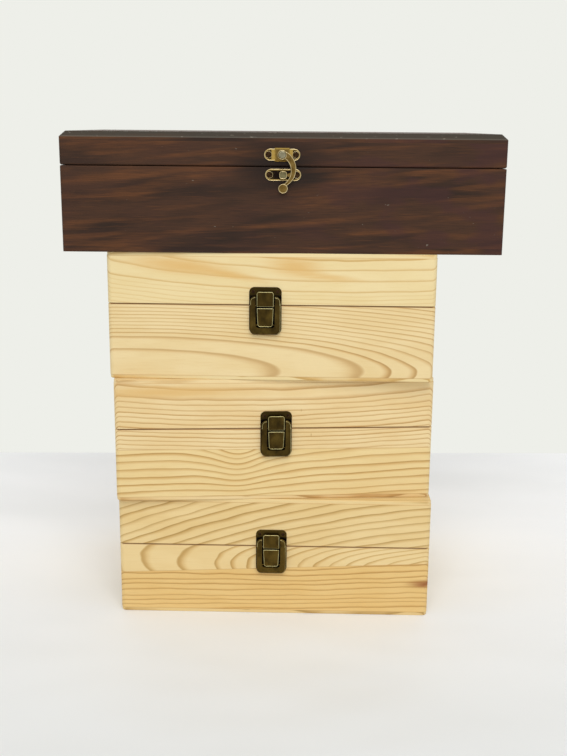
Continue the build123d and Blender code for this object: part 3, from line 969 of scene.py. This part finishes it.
@dataclass(frozen=True)
class ClaspPlateFinish(Finish):
    """Light antique brass plate: bright rim and bridge, with painted shade and dark varnish in its
    hollows.

    The bridge and a band between the eye and the screw wells stay bright as a painted highlight.
    """

    centre_x: float
    centre_z: float
    bright_from: float
    bright_to: float
    gold: Colour = srgb(178, 147, 76)
    # The dark colour is varnish with painted shade.
    lacquer_and_shade: Colour = srgb(24, 13, 9)
    olive: Colour = srgb(92, 72, 36)
    metallic: float = 0.92
    relief: float = METAL_RELIEF
    half_length: float = 10.1
    hollow_fade: Fade = (3.3, 4.2)
    bright_soft: Fade = (0.6, 0.9)
    bridge_fade: Fade = (1.05, 1.5)
    bridge_half: Point = (6.2, 5.5)

    def paint(self, graph: Graph) -> Painted:
        """Colour the plate.

        Args:
            graph: The material's graph.

        Returns:
            The shader's values and the surface's height.
        """
        x, y, z = graph.place(DARK)
        across = abs(x - DARK.metal_x - self.centre_x)
        up = z - DARK.base - self.centre_z
        out = 0 - y - DARK.depth / 2
        reach = (across - self.half_length).at_least(0.0)
        from_rim = (reach.squared() + up.squared()).root()
        hollow = 1 - from_rim.eased(*self.hollow_fade)
        soft_in, soft_out = self.bright_soft
        # Painted highlight: a band between the eye and the screw wells, and the raised bridge, stay
        # gold.
        bright = across.eased(self.bright_from - soft_in, self.bright_from)
        bright = bright * (1 - across.eased(self.bright_to, self.bright_to + soft_out))
        bridge = out.eased(*self.bridge_fade)
        bright = bright.at_least(bridge)
        bridge_x, bridge_z = self.bridge_half
        inner = 1 - (across / bridge_x).at_least(abs(up) / bridge_z).eased(0.7, 0.92)
        cloud = graph.noise(x / 2.5, y / 2.5, z / 2.5, 2.0)
        # Painted shade in the hollows round the screw wells and under the eye.
        dark = hollow * (1 - bright) * (cloud * 0.3 + 0.85)
        body = graph.mix(dark, self.gold, self.lacquer_and_shade)
        body = graph.mix(bridge * inner * 0.8, body, self.olive)
        rough = 0.26 + cloud * 0.12 + dark * 0.2
        return {"Base Color": body, "Roughness": rough, "Metallic": self.metallic}, cloud


# The two rim finishes colour the raised rims light: wear with painted highlights.
BRONZE_RIM_HIGHLIGHT = MetalFinish(srgb(184, 174, 122), srgb(214, 206, 160), srgb(132, 118, 72), 0.3)
CLASP_BRASS = MetalFinish(srgb(112, 88, 42), srgb(160, 132, 76), srgb(64, 46, 20), 0.28)
POST_BRASS = MetalFinish(srgb(112, 104, 74), srgb(146, 136, 100), srgb(72, 64, 40), 0.3)
CLASP_RIM_HIGHLIGHT = MetalFinish(srgb(204, 184, 138), srgb(234, 218, 176), srgb(150, 124, 78), 0.22)
RIVET_METAL = MetalFinish(srgb(142, 136, 112), srgb(186, 180, 156), srgb(96, 88, 66), 0.32)
HINGE_METAL = MetalFinish(srgb(128, 104, 58), srgb(166, 140, 86), srgb(78, 60, 30), 0.34)
SCREW_METAL = MetalFinish(srgb(46, 30, 18), srgb(96, 70, 42), srgb(22, 14, 9), 0.38, cloud=1.5)


# ------------------------------------------------------------------ beads along an outline


def arc(centre: Point, radius: float, start: float, end: float, steps: int = 6) -> list[Point]:
    """Points on an arc.

    Args:
        centre: Its centre.
        radius: Its radius.
        start: First angle in degrees, from +X towards +Z.
        end: Last angle in degrees.
        steps: Number of steps.

    Returns:
        The points, first to last.
    """
    angles = [math.radians(start + (end - start) * i / steps) for i in range(steps + 1)]
    return [(centre[0] + radius * math.cos(a), centre[1] + radius * math.sin(a)) for a in angles]


def rounded_outline(
    top_half: float, bottom_half: float, top: float, bottom: float, top_r: float, low_r: float
) -> list[Point]:
    """A closed four-sided outline with rounded corners.

    Args:
        top_half: Half its width at the top.
        bottom_half: Half its width at the bottom.
        top: Its top.
        bottom: Its bottom.
        top_r: Radius of the upper corners.
        low_r: Radius of the lower corners.

    Returns:
        The points, counter-clockwise from the upper right corner.
    """
    return (
        arc((top_half - top_r, top - top_r), top_r, 0, 90)
        + arc((-top_half + top_r, top - top_r), top_r, 90, 180)
        + arc((-bottom_half + low_r, bottom + low_r), low_r, 180, 270)
        + arc((bottom_half - low_r, bottom + low_r), low_r, 270, 360)
    )


def ring(centre: Point, radius: float, steps: int = 24) -> list[Point]:
    """Points round a circle, for a closed path."""
    return arc(centre, radius, 0, 360 - 360 / steps, steps - 1)


def three_point_arc(first: Point, middle: Point, last: Point, steps: int) -> list[Point]:
    """Points on the circular arc through three points.

    Args:
        first: Its start.
        middle: A point on it.
        last: Its end.
        steps: Number of steps.

    Returns:
        The points, first to last.
    """
    (ax, az), (bx, bz), (cx, cz) = first, middle, last
    turn = 2 * (ax * (bz - cz) + bx * (cz - az) + cx * (az - bz))
    a2, b2, c2 = ax * ax + az * az, bx * bx + bz * bz, cx * cx + cz * cz
    centre = (
        (a2 * (bz - cz) + b2 * (cz - az) + c2 * (az - bz)) / turn,
        (a2 * (cx - bx) + b2 * (ax - cx) + c2 * (bx - ax)) / turn,
    )
    radius = math.hypot(ax - centre[0], az - centre[1])
    start, through, end = (
        math.degrees(math.atan2(z - centre[1], x - centre[0])) for x, z in (first, middle, last)
    )
    if not min(start, end) <= through <= max(start, end):
        end += 360 if end < start else -360
    return arc(centre, radius, start, end, steps)


@dataclass(frozen=True)
class Path:
    """A path for a bead: points right and up on the metal's face, and its distance out."""

    points: list[Point]
    out: float
    radius: float
    closed: bool = True


class BeadTree:
    """A Geometry Nodes tree that lays a round bead along a path.

    STEPS names its nodes, and each of LINKS is a node and its output, a node and its input.
    """

    SIDES = 10
    INPUTS = {
        "Geometry": "NodeSocketGeometry",
        "Bead Radius": "NodeSocketFloat",
        "Bead Sides": "NodeSocketInt",
        "Finish": "NodeSocketMaterial",
    }
    STEPS = {
        "given": "NodeGroupInput",
        "result": "NodeGroupOutput",
        "path": "GeometryNodeMeshToCurve",
        "ring": "GeometryNodeCurvePrimitiveCircle",
        "skin": "GeometryNodeCurveToMesh",
        "real": "GeometryNodeRealizeInstances",
        "dress": "GeometryNodeSetMaterial",
    }
    LINKS = (
        ("given", "Geometry", "path", "Mesh"),
        ("given", "Bead Radius", "ring", "Radius"),
        ("given", "Bead Sides", "ring", "Resolution"),
        ("path", "Curve", "skin", "Curve"),
        ("ring", "Curve", "skin", "Profile Curve"),
        ("skin", "Mesh", "real", "Geometry"),
        ("real", "Geometry", "dress", "Geometry"),
        ("given", "Finish", "dress", "Material"),
        ("dress", "Geometry", "result", "Geometry"),
    )

    def __init__(self) -> None:
        """Build the tree with its named inputs."""
        self.tree = bpy.data.node_groups.new("bead_along_path", "GeometryNodeTree")
        face = self.tree.interface
        self.inputs = {
            label: face.new_socket(label, in_out="INPUT", socket_type=kind).identifier
            for label, kind in self.INPUTS.items()
        }
        face.new_socket("Geometry", in_out="OUTPUT", socket_type="NodeSocketGeometry")
        steps = {step: self.tree.nodes.new(kind) for step, kind in self.STEPS.items()}
        steps["skin"].inputs["Fill Caps"].default_value = True
        for source, output, target, entry in self.LINKS:
            self.tree.links.new(steps[source].outputs[output], steps[target].inputs[entry])

    def lay(
        self, name: str, paths: list[Path], frame: Matrix, finish: bpy.types.Material
    ) -> bpy.types.Object:
        """Lay beads along paths and join them into one piece.

        Args:
            name: The piece's name.
            paths: The paths, each with its own bead radius.
            frame: Matrix from the paths' frame to the stack's frame.
            finish: The material.

        Returns:
            The piece, a plain mesh at the origin.
        """
        joined = bmesh.new()
        for path in paths:
            line = self._line_object(name, path)
            modifier = line.modifiers.new("bead", "NODES")
            modifier.node_group = self.tree
            modifier[self.inputs["Bead Radius"]] = path.radius * MM
            modifier[self.inputs["Bead Sides"]] = self.SIDES
            modifier[self.inputs["Finish"]] = finish
            graph = bpy.context.evaluated_depsgraph_get()
            mesh = bpy.data.meshes.new_from_object(line.evaluated_get(graph))
            line.modifiers.remove(modifier)
            mesh.transform(frame)
            joined.from_mesh(mesh)
            bpy.data.meshes.remove(mesh)
            bpy.data.objects.remove(line)
        bmesh.ops.recalc_face_normals(joined, faces=joined.faces)
        for side in joined.faces:
            side.smooth = True
        whole = bpy.data.meshes.new(name)
        joined.to_mesh(whole)
        joined.free()
        whole.materials.append(finish)
        piece = bpy.data.objects.new(name, whole)
        bpy.context.scene.collection.objects.link(piece)
        return piece

    @staticmethod
    def _line_object(name: str, path: Path) -> bpy.types.Object:
        """Make a mesh of edges along a path, in the metalwork's frame.

        Args:
            name: The piece's name.
            path: The path.

        Returns:
            The object that holds the edges.
        """
        mesh = bpy.data.meshes.new(name + "_line")
        verts = [(x * MM, -path.out * MM, z * MM) for x, z in path.points]
        edges = [(i, i + 1) for i in range(len(verts) - 1)]
        if path.closed:
            edges.append((len(verts) - 1, 0))
        mesh.from_pydata(verts, edges, [])
        line = bpy.data.objects.new(name + "_line", mesh)
        bpy.context.scene.collection.objects.link(line)
        bpy.context.view_layer.update()
        return line


# ------------------------------------------------------------------ sub-assemblies


def dress(node: bpy.types.Object, material: bpy.types.Material) -> None:
    """Give every slot of a CAD node one material."""
    node.data.materials.clear()
    node.data.materials.append(material)


@dataclass
class ToggleLatch:
    """The antique bronze toggle latch of a pine box, with its rubbed rims coloured light as painted
    highlights.

    Sizes are in the latch's frame: across from its middle, up from the seam and out of the box.
    Corners are the radii of the upper and the lower corners.
    """

    site: Site
    nodes: dict[str, bpy.types.Object]
    beads: BeadTree
    rim: bpy.types.Material
    bronze: Colour
    tongue_half: float = 6.9
    tongue_top: float = 12.0
    tongue_bottom: float = -0.15
    tongue_out: float = 4.2
    tongue_corners: Point = (1.7, 0.3)
    link_top_half: float = 6.8
    link_low_half: float = 6.15
    link_top: float = -2.0
    link_bottom: float = -17.4
    link_out: float = 4.4
    link_corners: Point = (0.3, 2.0)
    lever_half: float = 12.3
    lever_top: float = 7.5
    lever_corner: float = 4.0
    lever_out: float = 4.5
    lever_drop: float = 2.5
    side_x: float = 12.7
    side_bottom: float = -20.0
    side_out: float = 4.05
    side_drop: float = 1.0
    side_turn: float = -65.0
    # The rims are beads coloured light as painted highlights on rubbed edges.
    rim_radius: float = 0.28
    foot_radius: float = 0.16
    rubbed_highlight_radius: float = 0.22

    def build(self) -> None:
        """Dress the CAD pieces and add the rims."""
        name = self.site.name
        bronze = LatchFinish(self.site, self.bronze).build(f"antique_bronze_{name}")
        for node in ("latch_plate", "catch_plate", "latch_lever", "latch_link"):
            dress(self.nodes[f"{name}_{node}"], bronze)
        self._add("catch_rim", self._catch_paths(), f"{name}_lid")
        self._add("link_rim", self._link_paths(), f"{name}_link")
        self._add("lever_rim", self._lever_paths(), f"{name}_lever")

    def _add(self, piece: str, paths: list[Path], body: str) -> None:
        """Lay beads on a body of the latch.

        Args:
            piece: The end of the piece's name.
            paths: The beads' paths.
            body: The body that the piece rides on.
        """
        made = self.beads.lay(f"{self.site.name}_{piece}", paths, self.site.face, self.rim)
        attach(made, body)
        LOG.info("%s rides on %s", made.name, body)

    def _catch_paths(self) -> list[Path]:
        """Follow the rim of the lid's tongue, with a thinner painted highlight along its foot.

        Returns:
            The hoop round its sides and top, and the foot.
        """
        outline = rounded_outline(self.tongue_half, self.tongue_half, self.tongue_top,
                                  self.tongue_bottom, *self.tongue_corners)
        low_right = 3 * len(outline) // 4
        hoop = outline[low_right:] + outline[:low_right]
        return [
            Path(hoop, self.tongue_out, self.rim_radius, False),
            Path([hoop[-1], hoop[0]], self.tongue_out, self.foot_radius, False),
        ]

    def _link_paths(self) -> list[Path]:
        """The rim of the link plate."""
        outline = rounded_outline(self.link_top_half, self.link_low_half, self.link_top,
                                  self.link_bottom, *self.link_corners)
        return [Path(outline, self.link_out, self.rim_radius)]

    def _lever_paths(self) -> list[Path]:
        """Follow the rubbed arcs at the tops of the lever's two arms and its rubbed right edge,
        beaded light as painted highlights.

        Returns:
            The right arm, the left arm and the edge.
        """
        corner = self.lever_corner
        centre_x, centre_z = self.lever_half - corner, self.lever_top - corner
        right = [(self.lever_half, centre_z - self.lever_drop),
                 *arc((centre_x, centre_z), corner, 0, 90)]
        left = [(-x, z) for x, z in right]
        side = [(self.side_x, centre_z - self.side_drop),
                *arc((self.side_x - corner, self.side_bottom), corner, 0, self.side_turn)]
        return [
            Path(right, self.lever_out, self.rubbed_highlight_radius, False),
            Path(left, self.lever_out, self.rubbed_highlight_radius, False),
            Path(side, self.side_out, self.rubbed_highlight_radius, False),
        ]


@dataclass
class PineBox:
    """One pine box: boards, hinges and latch."""

    site: Site
    nodes: dict[str, bpy.types.Object]
    lid: Stave
    base: Stave
    low: Stave | None = None
    glue_height: float = 0.0
    glue_rise: float = 0.0
    lid_marks: tuple[Mark, ...] = ()
    base_marks: tuple[Mark, ...] = ()
    bronze: Colour = srgb(66, 51, 17)
    end_rings: Rings = Rings(along=60, height=150, depth=-60, stretch=22, spacing=4.2, core=90,
                             core_spacing=4.2, seed=5)
    panel_rings: Rings = Rings(along=60, height=95, depth=-26, stretch=9, spacing=3.6, core=60,
                               core_spacing=3.6, seed=9)

    def build(self, hinge: bpy.types.Material, screws: bpy.types.Material) -> None:
        """Dress the boards, hinges and screws.

        Args:
            hinge: The hinges' material.
            screws: The screws' material.
        """
        ends = replace(self.base, rings=self.end_rings)
        panels = replace(self.lid, rings=self.panel_rings)
        finishes = {
            "front_board": PineFinish(self.site, Cut.LONG, self.base, self.low,
                                      self.glue_height, self.glue_rise, self.base_marks),
            "back_board": PineFinish(self.site, Cut.LONG, self.base),
            "end_boards": PineFinish(self.site, Cut.END, ends),
            "lid_rails": PineFinish(self.site, Cut.FRAME, self.lid, marks=self.lid_marks),
            "lid_panel": PineFinish(self.site, Cut.TOP, panels),
            "floor_panel": PineFinish(self.site, Cut.FLOOR, panels),
        }
        for node, finish in finishes.items():
            name = f"{self.site.name}_{node}"
            dress(self.nodes[name], finish.build(f"pine_{name}"))
            LOG.info("%s is pine", name)
        dress_hinges(self.site.name, self.nodes, hinge, screws)


def dress_hinges(
    name: str,
    nodes: dict[str, bpy.types.Object],
    hinge: bpy.types.Material,
    screws: bpy.types.Material,
) -> None:
    """Dress a box's hinges and screws.

    Args:
        name: The box's name.
        nodes: The CAD nodes.
        hinge: The hinges' material.
        screws: The screws' material.
    """
    for node in ("hinge_lower_leaves", "hinge_upper_leaves"):
        dress(nodes[f"{name}_{node}"], hinge)
    for node in ("base_screws", "lid_screws"):
        dress(nodes[f"{name}_{node}"], screws)


@dataclass
class HookClasp:
    """The swing-hook clasp of the dark box, with its rubbed rims coloured light as painted
    highlights.

    Sizes are in the clasp's frame: across from its middle, up from the seam and out of the box.
    The arm's two edges are three points each, measured from the hook's rivet.
    """

    nodes: dict[str, bpy.types.Object]
    beads: BeadTree
    rim: bpy.types.Material
    hook_z: float = 10.1
    post_x: float = 0.9
    post_z: float = -6.2
    plate_half: float = 14.6
    plate_radius: float = 4.5
    plate_out: float = 0.85
    plate_rim: float = 0.36
    screw_x: float = 11.3
    well_radius: float = 2.75
    well_out: float = 0.95
    well_rim: float = 0.16
    head_half: float = 2.85
    head_corner: float = 1.9
    head_out: float = 4.35
    eye_radius: float = 3.6
    end_x: float = 0.9
    end_z: float = -17.3
    end_rim: float = 0.32
    hook_out: float = 3.85
    hook_rim: float = 0.3
    arm_outer: tuple[Point, Point, Point] = ((3.1, 2.4), (11.3, -10.4), (3.5, -24.8))
    arm_inner: tuple[Point, Point, Point] = ((2.7, -2.9), (7.3, -10.2), (1.6, -23.8))
    arm_steps: int = 20

    def build(self) -> None:
        """Dress the CAD pieces and add the rims."""
        upper = ClaspPlateFinish(0.0, self.hook_z, 4.6, 8.4)
        # The lower plate's highlight band lies beyond its ends, so it gets no painted highlight.
        lower = ClaspPlateFinish(self.post_x, self.post_z, 30.0, 31.0)
        finishes = {
            "dark_hook": CLASP_BRASS,
            "dark_hook_plate": upper,
            "dark_post_plate": lower,
            "dark_post": POST_BRASS,
            "dark_hook_rivet": RIVET_METAL,
        }
        for node, finish in finishes.items():
            dress(self.nodes[node], finish.build(f"brass_{node}"))
        self._add("dark_hook_plate_rim", self._plate_paths(0.0, self.hook_z), "dark_lid")
        self._add("dark_post_plate_rim", self._post_paths(), "dark_base")
        self._add("dark_hook_rim", self._hook_paths(), "dark_hook")

    def _add(self, name: str, paths: list[Path], body: str) -> None:
        """Lay beads on a body of the clasp.

        Args:
            name: The piece's name.
            paths: The beads' paths.
            body: The body that the piece rides on.
        """
        made = self.beads.lay(name, paths, DARK.face, self.rim)
        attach(made, body)
        LOG.info("%s rides on %s", name, body)

    def _plate_paths(self, x: float, z: float) -> list[Path]:
        """Follow the outline of a round-ended plate and the rims of its screw wells.

        Args:
            x: The plate's centre across.
            z: The plate's centre up.

        Returns:
            The outline and the two wells.
        """
        inner = self.plate_half - self.plate_radius
        outline = (arc((x + inner, z), self.plate_radius, -90, 90, 12)
                   + arc((x - inner, z), self.plate_radius, 90, 270, 12))
        wells = [
            Path(ring((x + side * self.screw_x, z), self.well_radius), self.well_out,
                 self.well_rim)
            for side in (-1, 1)
        ]
        return [Path(outline, self.plate_out, self.plate_rim), *wells]

    def _post_paths(self) -> list[Path]:
        """Follow the lower plate's rims and the rim of the post's head.

        Returns:
            The plate's paths and the head's.
        """
        half, corner = self.head_half, self.head_corner
        head = rounded_outline(half, half, self.post_z + half, self.post_z - half, corner, corner)
        head = [(x + self.post_x, z) for x, z in head]
        plate = self._plate_paths(self.post_x, self.post_z)
        return [*plate, Path(head, self.head_out, self.hook_rim)]

    def _hook_paths(self) -> list[Path]:
        """Follow the rims of the eye and the finger end, and the two edges of the arm.

        Returns:
            The eye, the finger end and the two edges.
        """
        eye = ring((0.0, self.hook_z), self.eye_radius)
        end = ring((self.end_x, self.end_z), self.eye_radius)
        paths = [
            Path(eye, self.hook_out, self.hook_rim),
            Path(end, self.hook_out, self.end_rim),
        ]
        for points in (self.arm_outer, self.arm_inner):
            edge = [(x, z + self.hook_z) for x, z in three_point_arc(*points, self.arm_steps)]
            paths.append(Path(edge, self.hook_out, self.hook_rim, False))
        return paths


@dataclass
class DarkBox:
    """The dark stained box: boards and hinges."""

    nodes: dict[str, bpy.types.Object]

    def build(self, hinge: bpy.types.Material, screws: bpy.types.Material) -> None:
        """Dress the boards, hinges and screws.

        Args:
            hinge: The hinges' material.
            screws: The screws' material.
        """
        boards = {
            "front_board": Cut.LONG,
            "back_board": Cut.LONG,
            "end_boards": Cut.END,
            "floor_panel": Cut.FLOOR,
            "lid_front_rail": Cut.LONG,
            "lid_back_rail": Cut.LONG,
            "lid_end_rails": Cut.END,
            "lid_panel": Cut.TOP,
        }
        for number, (node, cut) in enumerate(boards.items()):
            finish = DarkWoodFinish(cut, seed=number * 3.7)
            dress(self.nodes[f"dark_{node}"], finish.build(f"stained_dark_{node}"))
            LOG.info("dark_%s is stained wood", node)
        dress_hinges("dark", self.nodes, hinge, screws)


# ------------------------------------------------------------------ studio


@dataclass(frozen=True)
class Lamp:
    """A square soft lamp: its place and side in metres, its power in watts."""

    name: str
    place: tuple[float, float, float]
    side: float
    power: float
    colour: Colour = (1.0, 0.985, 0.96)
    aim: tuple[float, float, float] = (0.0, 0.0, 0.2)


@dataclass
class Studio:
    """The pale table, the soft light and the camera.

    The camera's eye is in millimetres and its angles are in degrees; the table is in metres.
    """

    focal_px: float = 1045.0
    picture_height: float = 756.0
    sensor: float = 36.0
    eye: tuple[float, float, float] = (25.5, -983.0, 435.0)
    pitch: float = 13.61
    turn: float = -1.2
    roll: float = 0.51
    near_clip: float = 0.05
    table_half: float = 4.0
    table_near: float = -3.0
    table_back: float = 0.379
    table_skew: float = 0.045
    table_colour: Colour = srgb(254, 255, 255)
    # The cloth is paler at the back and darker at the front as painted shade, with painted shade in
    # its folds.
    table_front_shade: Colour = srgb(230, 233, 233)
    table_relief: float = 0.01
    fold_shade_colour: Colour = srgb(220, 222, 220)
    table_shade_fade: Fade = (-0.55, 0.2)
    wall_colour: Colour = srgb(238, 239, 233)
    world_colour: Colour = (0.985, 0.99, 1.0)
    world_strength: float = 0.61
    lamps: tuple[Lamp, ...] = (
        Lamp("key", (0.15, -1.6, 1.7), 1.4, 22.5),
        Lamp("back", (0.0, 1.5, 1.4), 1.8, 6.5),
    )

    def build(self) -> None:
        """Make the table, lights and camera."""
        self._table()
        self._world()
        for lamp in self.lamps:
            self._hang(lamp)
        self._camera()

    def _table(self) -> None:
        """A pale table top that ends behind the stack, as in the photograph."""
        mesh = bpy.data.meshes.new("table")
        half, near = self.table_half, self.table_near
        skew = half * self.table_skew
        corners = [(-half, near, 0.0), (half, near, 0.0), (half, self.table_back + skew, 0.0),
                   (-half, self.table_back - skew, 0.0)]
        mesh.from_pydata(corners, [], [(0, 1, 2, 3)])
        table = bpy.data.objects.new("table", mesh)
        bpy.context.scene.collection.objects.link(table)
        graph = Graph("pale_cloth")
        x, y, z = graph.split(graph.coordinates())
        swell = graph.noise(x * 4, y * 7, z, 2.0)
        # Painted shade: the folds, and the cloth darkening towards the front.
        fold_shade = graph.noise(x * 2.2 + y * 1.5, y * 5, z + 4, 2.0).eased(0.45, 0.72)
        cloth = graph.mix(y.eased(*self.table_shade_fade), self.table_front_shade, self.table_colour)
        cloth = graph.mix(fold_shade * 0.25, cloth, self.fold_shade_colour)
        sockets = {"Base Color": cloth, "Roughness": 0.9, "Specular IOR Level": 0.1}
        mesh.materials.append(graph.finish(sockets, swell, self.table_relief))

    def _world(self) -> None:
        """Soft light from all round, with the wall's colour for the camera and for gloss."""
        world = bpy.data.worlds.new("soft_room")
        bpy.context.scene.world = world
        world.use_nodes = True
        tree = world.node_tree
        light = tree.nodes["Background"]
        light.inputs["Color"].default_value = (*self.world_colour, 1.0)
        light.inputs["Strength"].default_value = self.world_strength
        wall = tree.nodes.new("ShaderNodeBackground")
        wall.inputs["Color"].default_value = (*self.wall_colour, 1.0)
        rays = tree.nodes.new("ShaderNodeLightPath")
        seen = rays.outputs["Is Camera Ray"]
        for kind in ("Is Glossy Ray", "Is Transmission Ray"):
            either = tree.nodes.new("ShaderNodeMath")
            either.operation = "MAXIMUM"
            tree.links.new(seen, either.inputs[0])
            tree.links.new(rays.outputs[kind], either.inputs[1])
            seen = either.outputs[0]
        mix = tree.nodes.new("ShaderNodeMixShader")
        tree.links.new(seen, mix.inputs[0])
        tree.links.new(light.outputs[0], mix.inputs[1])
        tree.links.new(wall.outputs[0], mix.inputs[2])
        tree.links.new(mix.outputs[0], tree.nodes["World Output"].inputs["Surface"])

    @staticmethod
    def _hang(lamp: Lamp) -> None:
        """Hang a lamp and turn it towards its aim.

        Args:
            lamp: The lamp.
        """
        light = bpy.data.lights.new(lamp.name, "AREA")
        light.shape = "SQUARE"
        light.size = lamp.side
        light.energy = lamp.power
        light.color = lamp.colour
        holder = bpy.data.objects.new(lamp.name, light)
        aim = Vector(lamp.aim) - Vector(lamp.place)
        holder.matrix_world = (Matrix.Translation(lamp.place)
                               @ aim.to_track_quat("-Z", "Y").to_matrix().to_4x4())
        bpy.context.scene.collection.objects.link(holder)

    def _camera(self) -> None:
        """The camera at the photograph's place and angle."""
        pitch, turn, roll = (math.radians(v) for v in (self.pitch, self.turn, self.roll))
        forward = Vector((math.sin(turn) * math.cos(pitch), math.cos(turn) * math.cos(pitch),
                          -math.sin(pitch)))
        right = Vector((math.cos(turn), -math.sin(turn), 0.0))
        up = right.cross(forward)
        rolled_right = right * math.cos(roll) + up * math.sin(roll)
        rolled_up = up * math.cos(roll) - right * math.sin(roll)
        lens = bpy.data.cameras.new("camera")
        lens.sensor_width = self.sensor
        lens.lens = self.focal_px / self.picture_height * self.sensor
        lens.clip_start = self.near_clip
        holder = bpy.data.objects.new("camera", lens)
        axes = Matrix((rolled_right, rolled_up, -forward)).transposed().to_4x4()
        holder.matrix_world = Matrix.Translation(Vector(self.eye) * MM) @ axes
        bpy.context.scene.collection.objects.link(holder)
        bpy.context.scene.camera = holder


# ------------------------------------------------------------------ the stack


def pine_boxes(nodes: dict[str, bpy.types.Object]) -> list[PineBox]:
    """The three pine boxes with their own grain.

    Args:
        nodes: The CAD nodes.

    Returns:
        The boxes, lowest first.
    """
    climbing = Rings(along=260, height=-215, depth=120, stretch=1.83, spacing=6.6, core=250,
                     core_spacing=6.6, wander=1.0, uneven=0.7, band=0.5, core_band=0.5, seed=11)
    arches = Rings(along=500, height=45, depth=20, stretch=8.2, spacing=4.0, core=70.5,
                   core_spacing=1.7, rise=-0.06, wander=0.35, uneven=0.25, band=0.66,
                   core_band=0.55, strength=0.85, seed=1)
    level = Rings(along=0, height=140, depth=-100, stretch=60, spacing=4.1, core=140,
                  core_spacing=4.1, rise=0.03, wander=1.1, uneven=0.9, dip=7, dip_along=25,
                  dip_width=85, seed=2)
    fine = Rings(along=-20, height=200, depth=-200, stretch=3.6, spacing=2.3, core=228,
                 core_spacing=4.0, wander=0.55, uneven=0.7, seed=3)
    wavy = Rings(along=0, height=-250, depth=100, stretch=40, spacing=6.8, core=290,
                 core_spacing=6.8, rise=0.05, wander=1.1, uneven=0.7, dip=22, dip_along=-32,
                 dip_width=25, band=0.45, seed=4)
    broad = Rings(along=60, height=150, depth=50, stretch=4.64, spacing=2.8, core=88.5,
                  core_spacing=6.8, wander=0.8, core_band=0.7, strength=0.3, core_strength=0.75,
                  seed=6)
    ovals = Rings(along=-117, height=8, depth=15, stretch=6.67, spacing=2.9, core=33.5,
                  core_spacing=9.3, wander=0.4, uneven=0.3, core_band=0.66, seed=7)
    lower_lid = Stave(climbing, srgb(236, 210, 154), srgb(229, 199, 138), srgb(196, 158, 92))
    lower_top = Stave(arches, srgb(238, 213, 158), srgb(231, 202, 143), srgb(206, 166, 98))
    lower_low = Stave(level, srgb(234, 200, 134), srgb(228, 190, 120), srgb(196, 150, 82))
    middle_lid = Stave(fine, srgb(239, 215, 164), srgb(231, 201, 144), srgb(200, 156, 94))
    middle_low = Stave(wavy, srgb(238, 213, 156), srgb(232, 203, 142), srgb(200, 156, 88))
    upper_lid = Stave(broad, srgb(237, 217, 166), srgb(232, 209, 153), srgb(212, 170, 100))
    upper_base = Stave(ovals, srgb(237, 214, 163), srgb(230, 203, 147), srgb(204, 163, 102))
    tan = srgb(222, 180, 110)
    patches = (
        Mark(-76, 98.5, 66, 10.5, tan, 0.85, -0.1),
        Mark(-36, 91.5, 44, 4.5, tan, 0.75, -0.16),
        Mark(20, 98.5, 34, 13.0, tan, 0.85, -0.1),
        Mark(50, 90.0, 34, 4.2, tan, 0.65, -0.08),
    )
    knot = Mark(139, 31, 24, 5.4, srgb(148, 80, 36), 0.9)
    lid_marks = (
        Mark(-95, 99.0, 100, 8.0, tan, 0.8),
        Mark(23, 82, 0.5, 1.6, srgb(176, 128, 70)),
    )
    pin_knots = (Mark(32, 59.5, 0.5, 2.0, srgb(176, 128, 70)),)
    return [
        # The lower latch's bronze is lighter than the others' as a painted reflection.
        PineBox(LOWER, nodes, lower_lid, lower_top, lower_low, glue_height=44.4,
                glue_rise=0.0454, base_marks=(knot,), bronze=srgb(84, 66, 24)),
        PineBox(MIDDLE, nodes, middle_lid, middle_lid, middle_low, glue_height=46.7,
                lid_marks=lid_marks, base_marks=pin_knots),
        PineBox(UPPER, nodes, upper_lid, upper_base, lid_marks=patches),
    ]


def main() -> None:
    """Build the stack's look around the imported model."""
    logging.basicConfig(level=logging.INFO, format="%(message)s")
    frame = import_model()
    nodes = frame["nodes"]
    bpy.context.scene.view_settings.view_transform = "Standard"
    beads = BeadTree()
    bronze_rim = BRONZE_RIM_HIGHLIGHT.build("worn_bronze_rim_highlight")
    hinge = HINGE_METAL.build("hinge_brass")
    screws = SCREW_METAL.build("dark_bronze_screws")
    for box in pine_boxes(nodes):
        box.build(hinge, screws)
        ToggleLatch(box.site, nodes, beads, bronze_rim, box.bronze).build()
    DarkBox(nodes).build(hinge, screws)
    HookClasp(nodes, beads, CLASP_RIM_HIGHLIGHT.build("worn_brass_rim_highlight")).build()
    Studio().build()


if __name__ == "__main__":
    main()
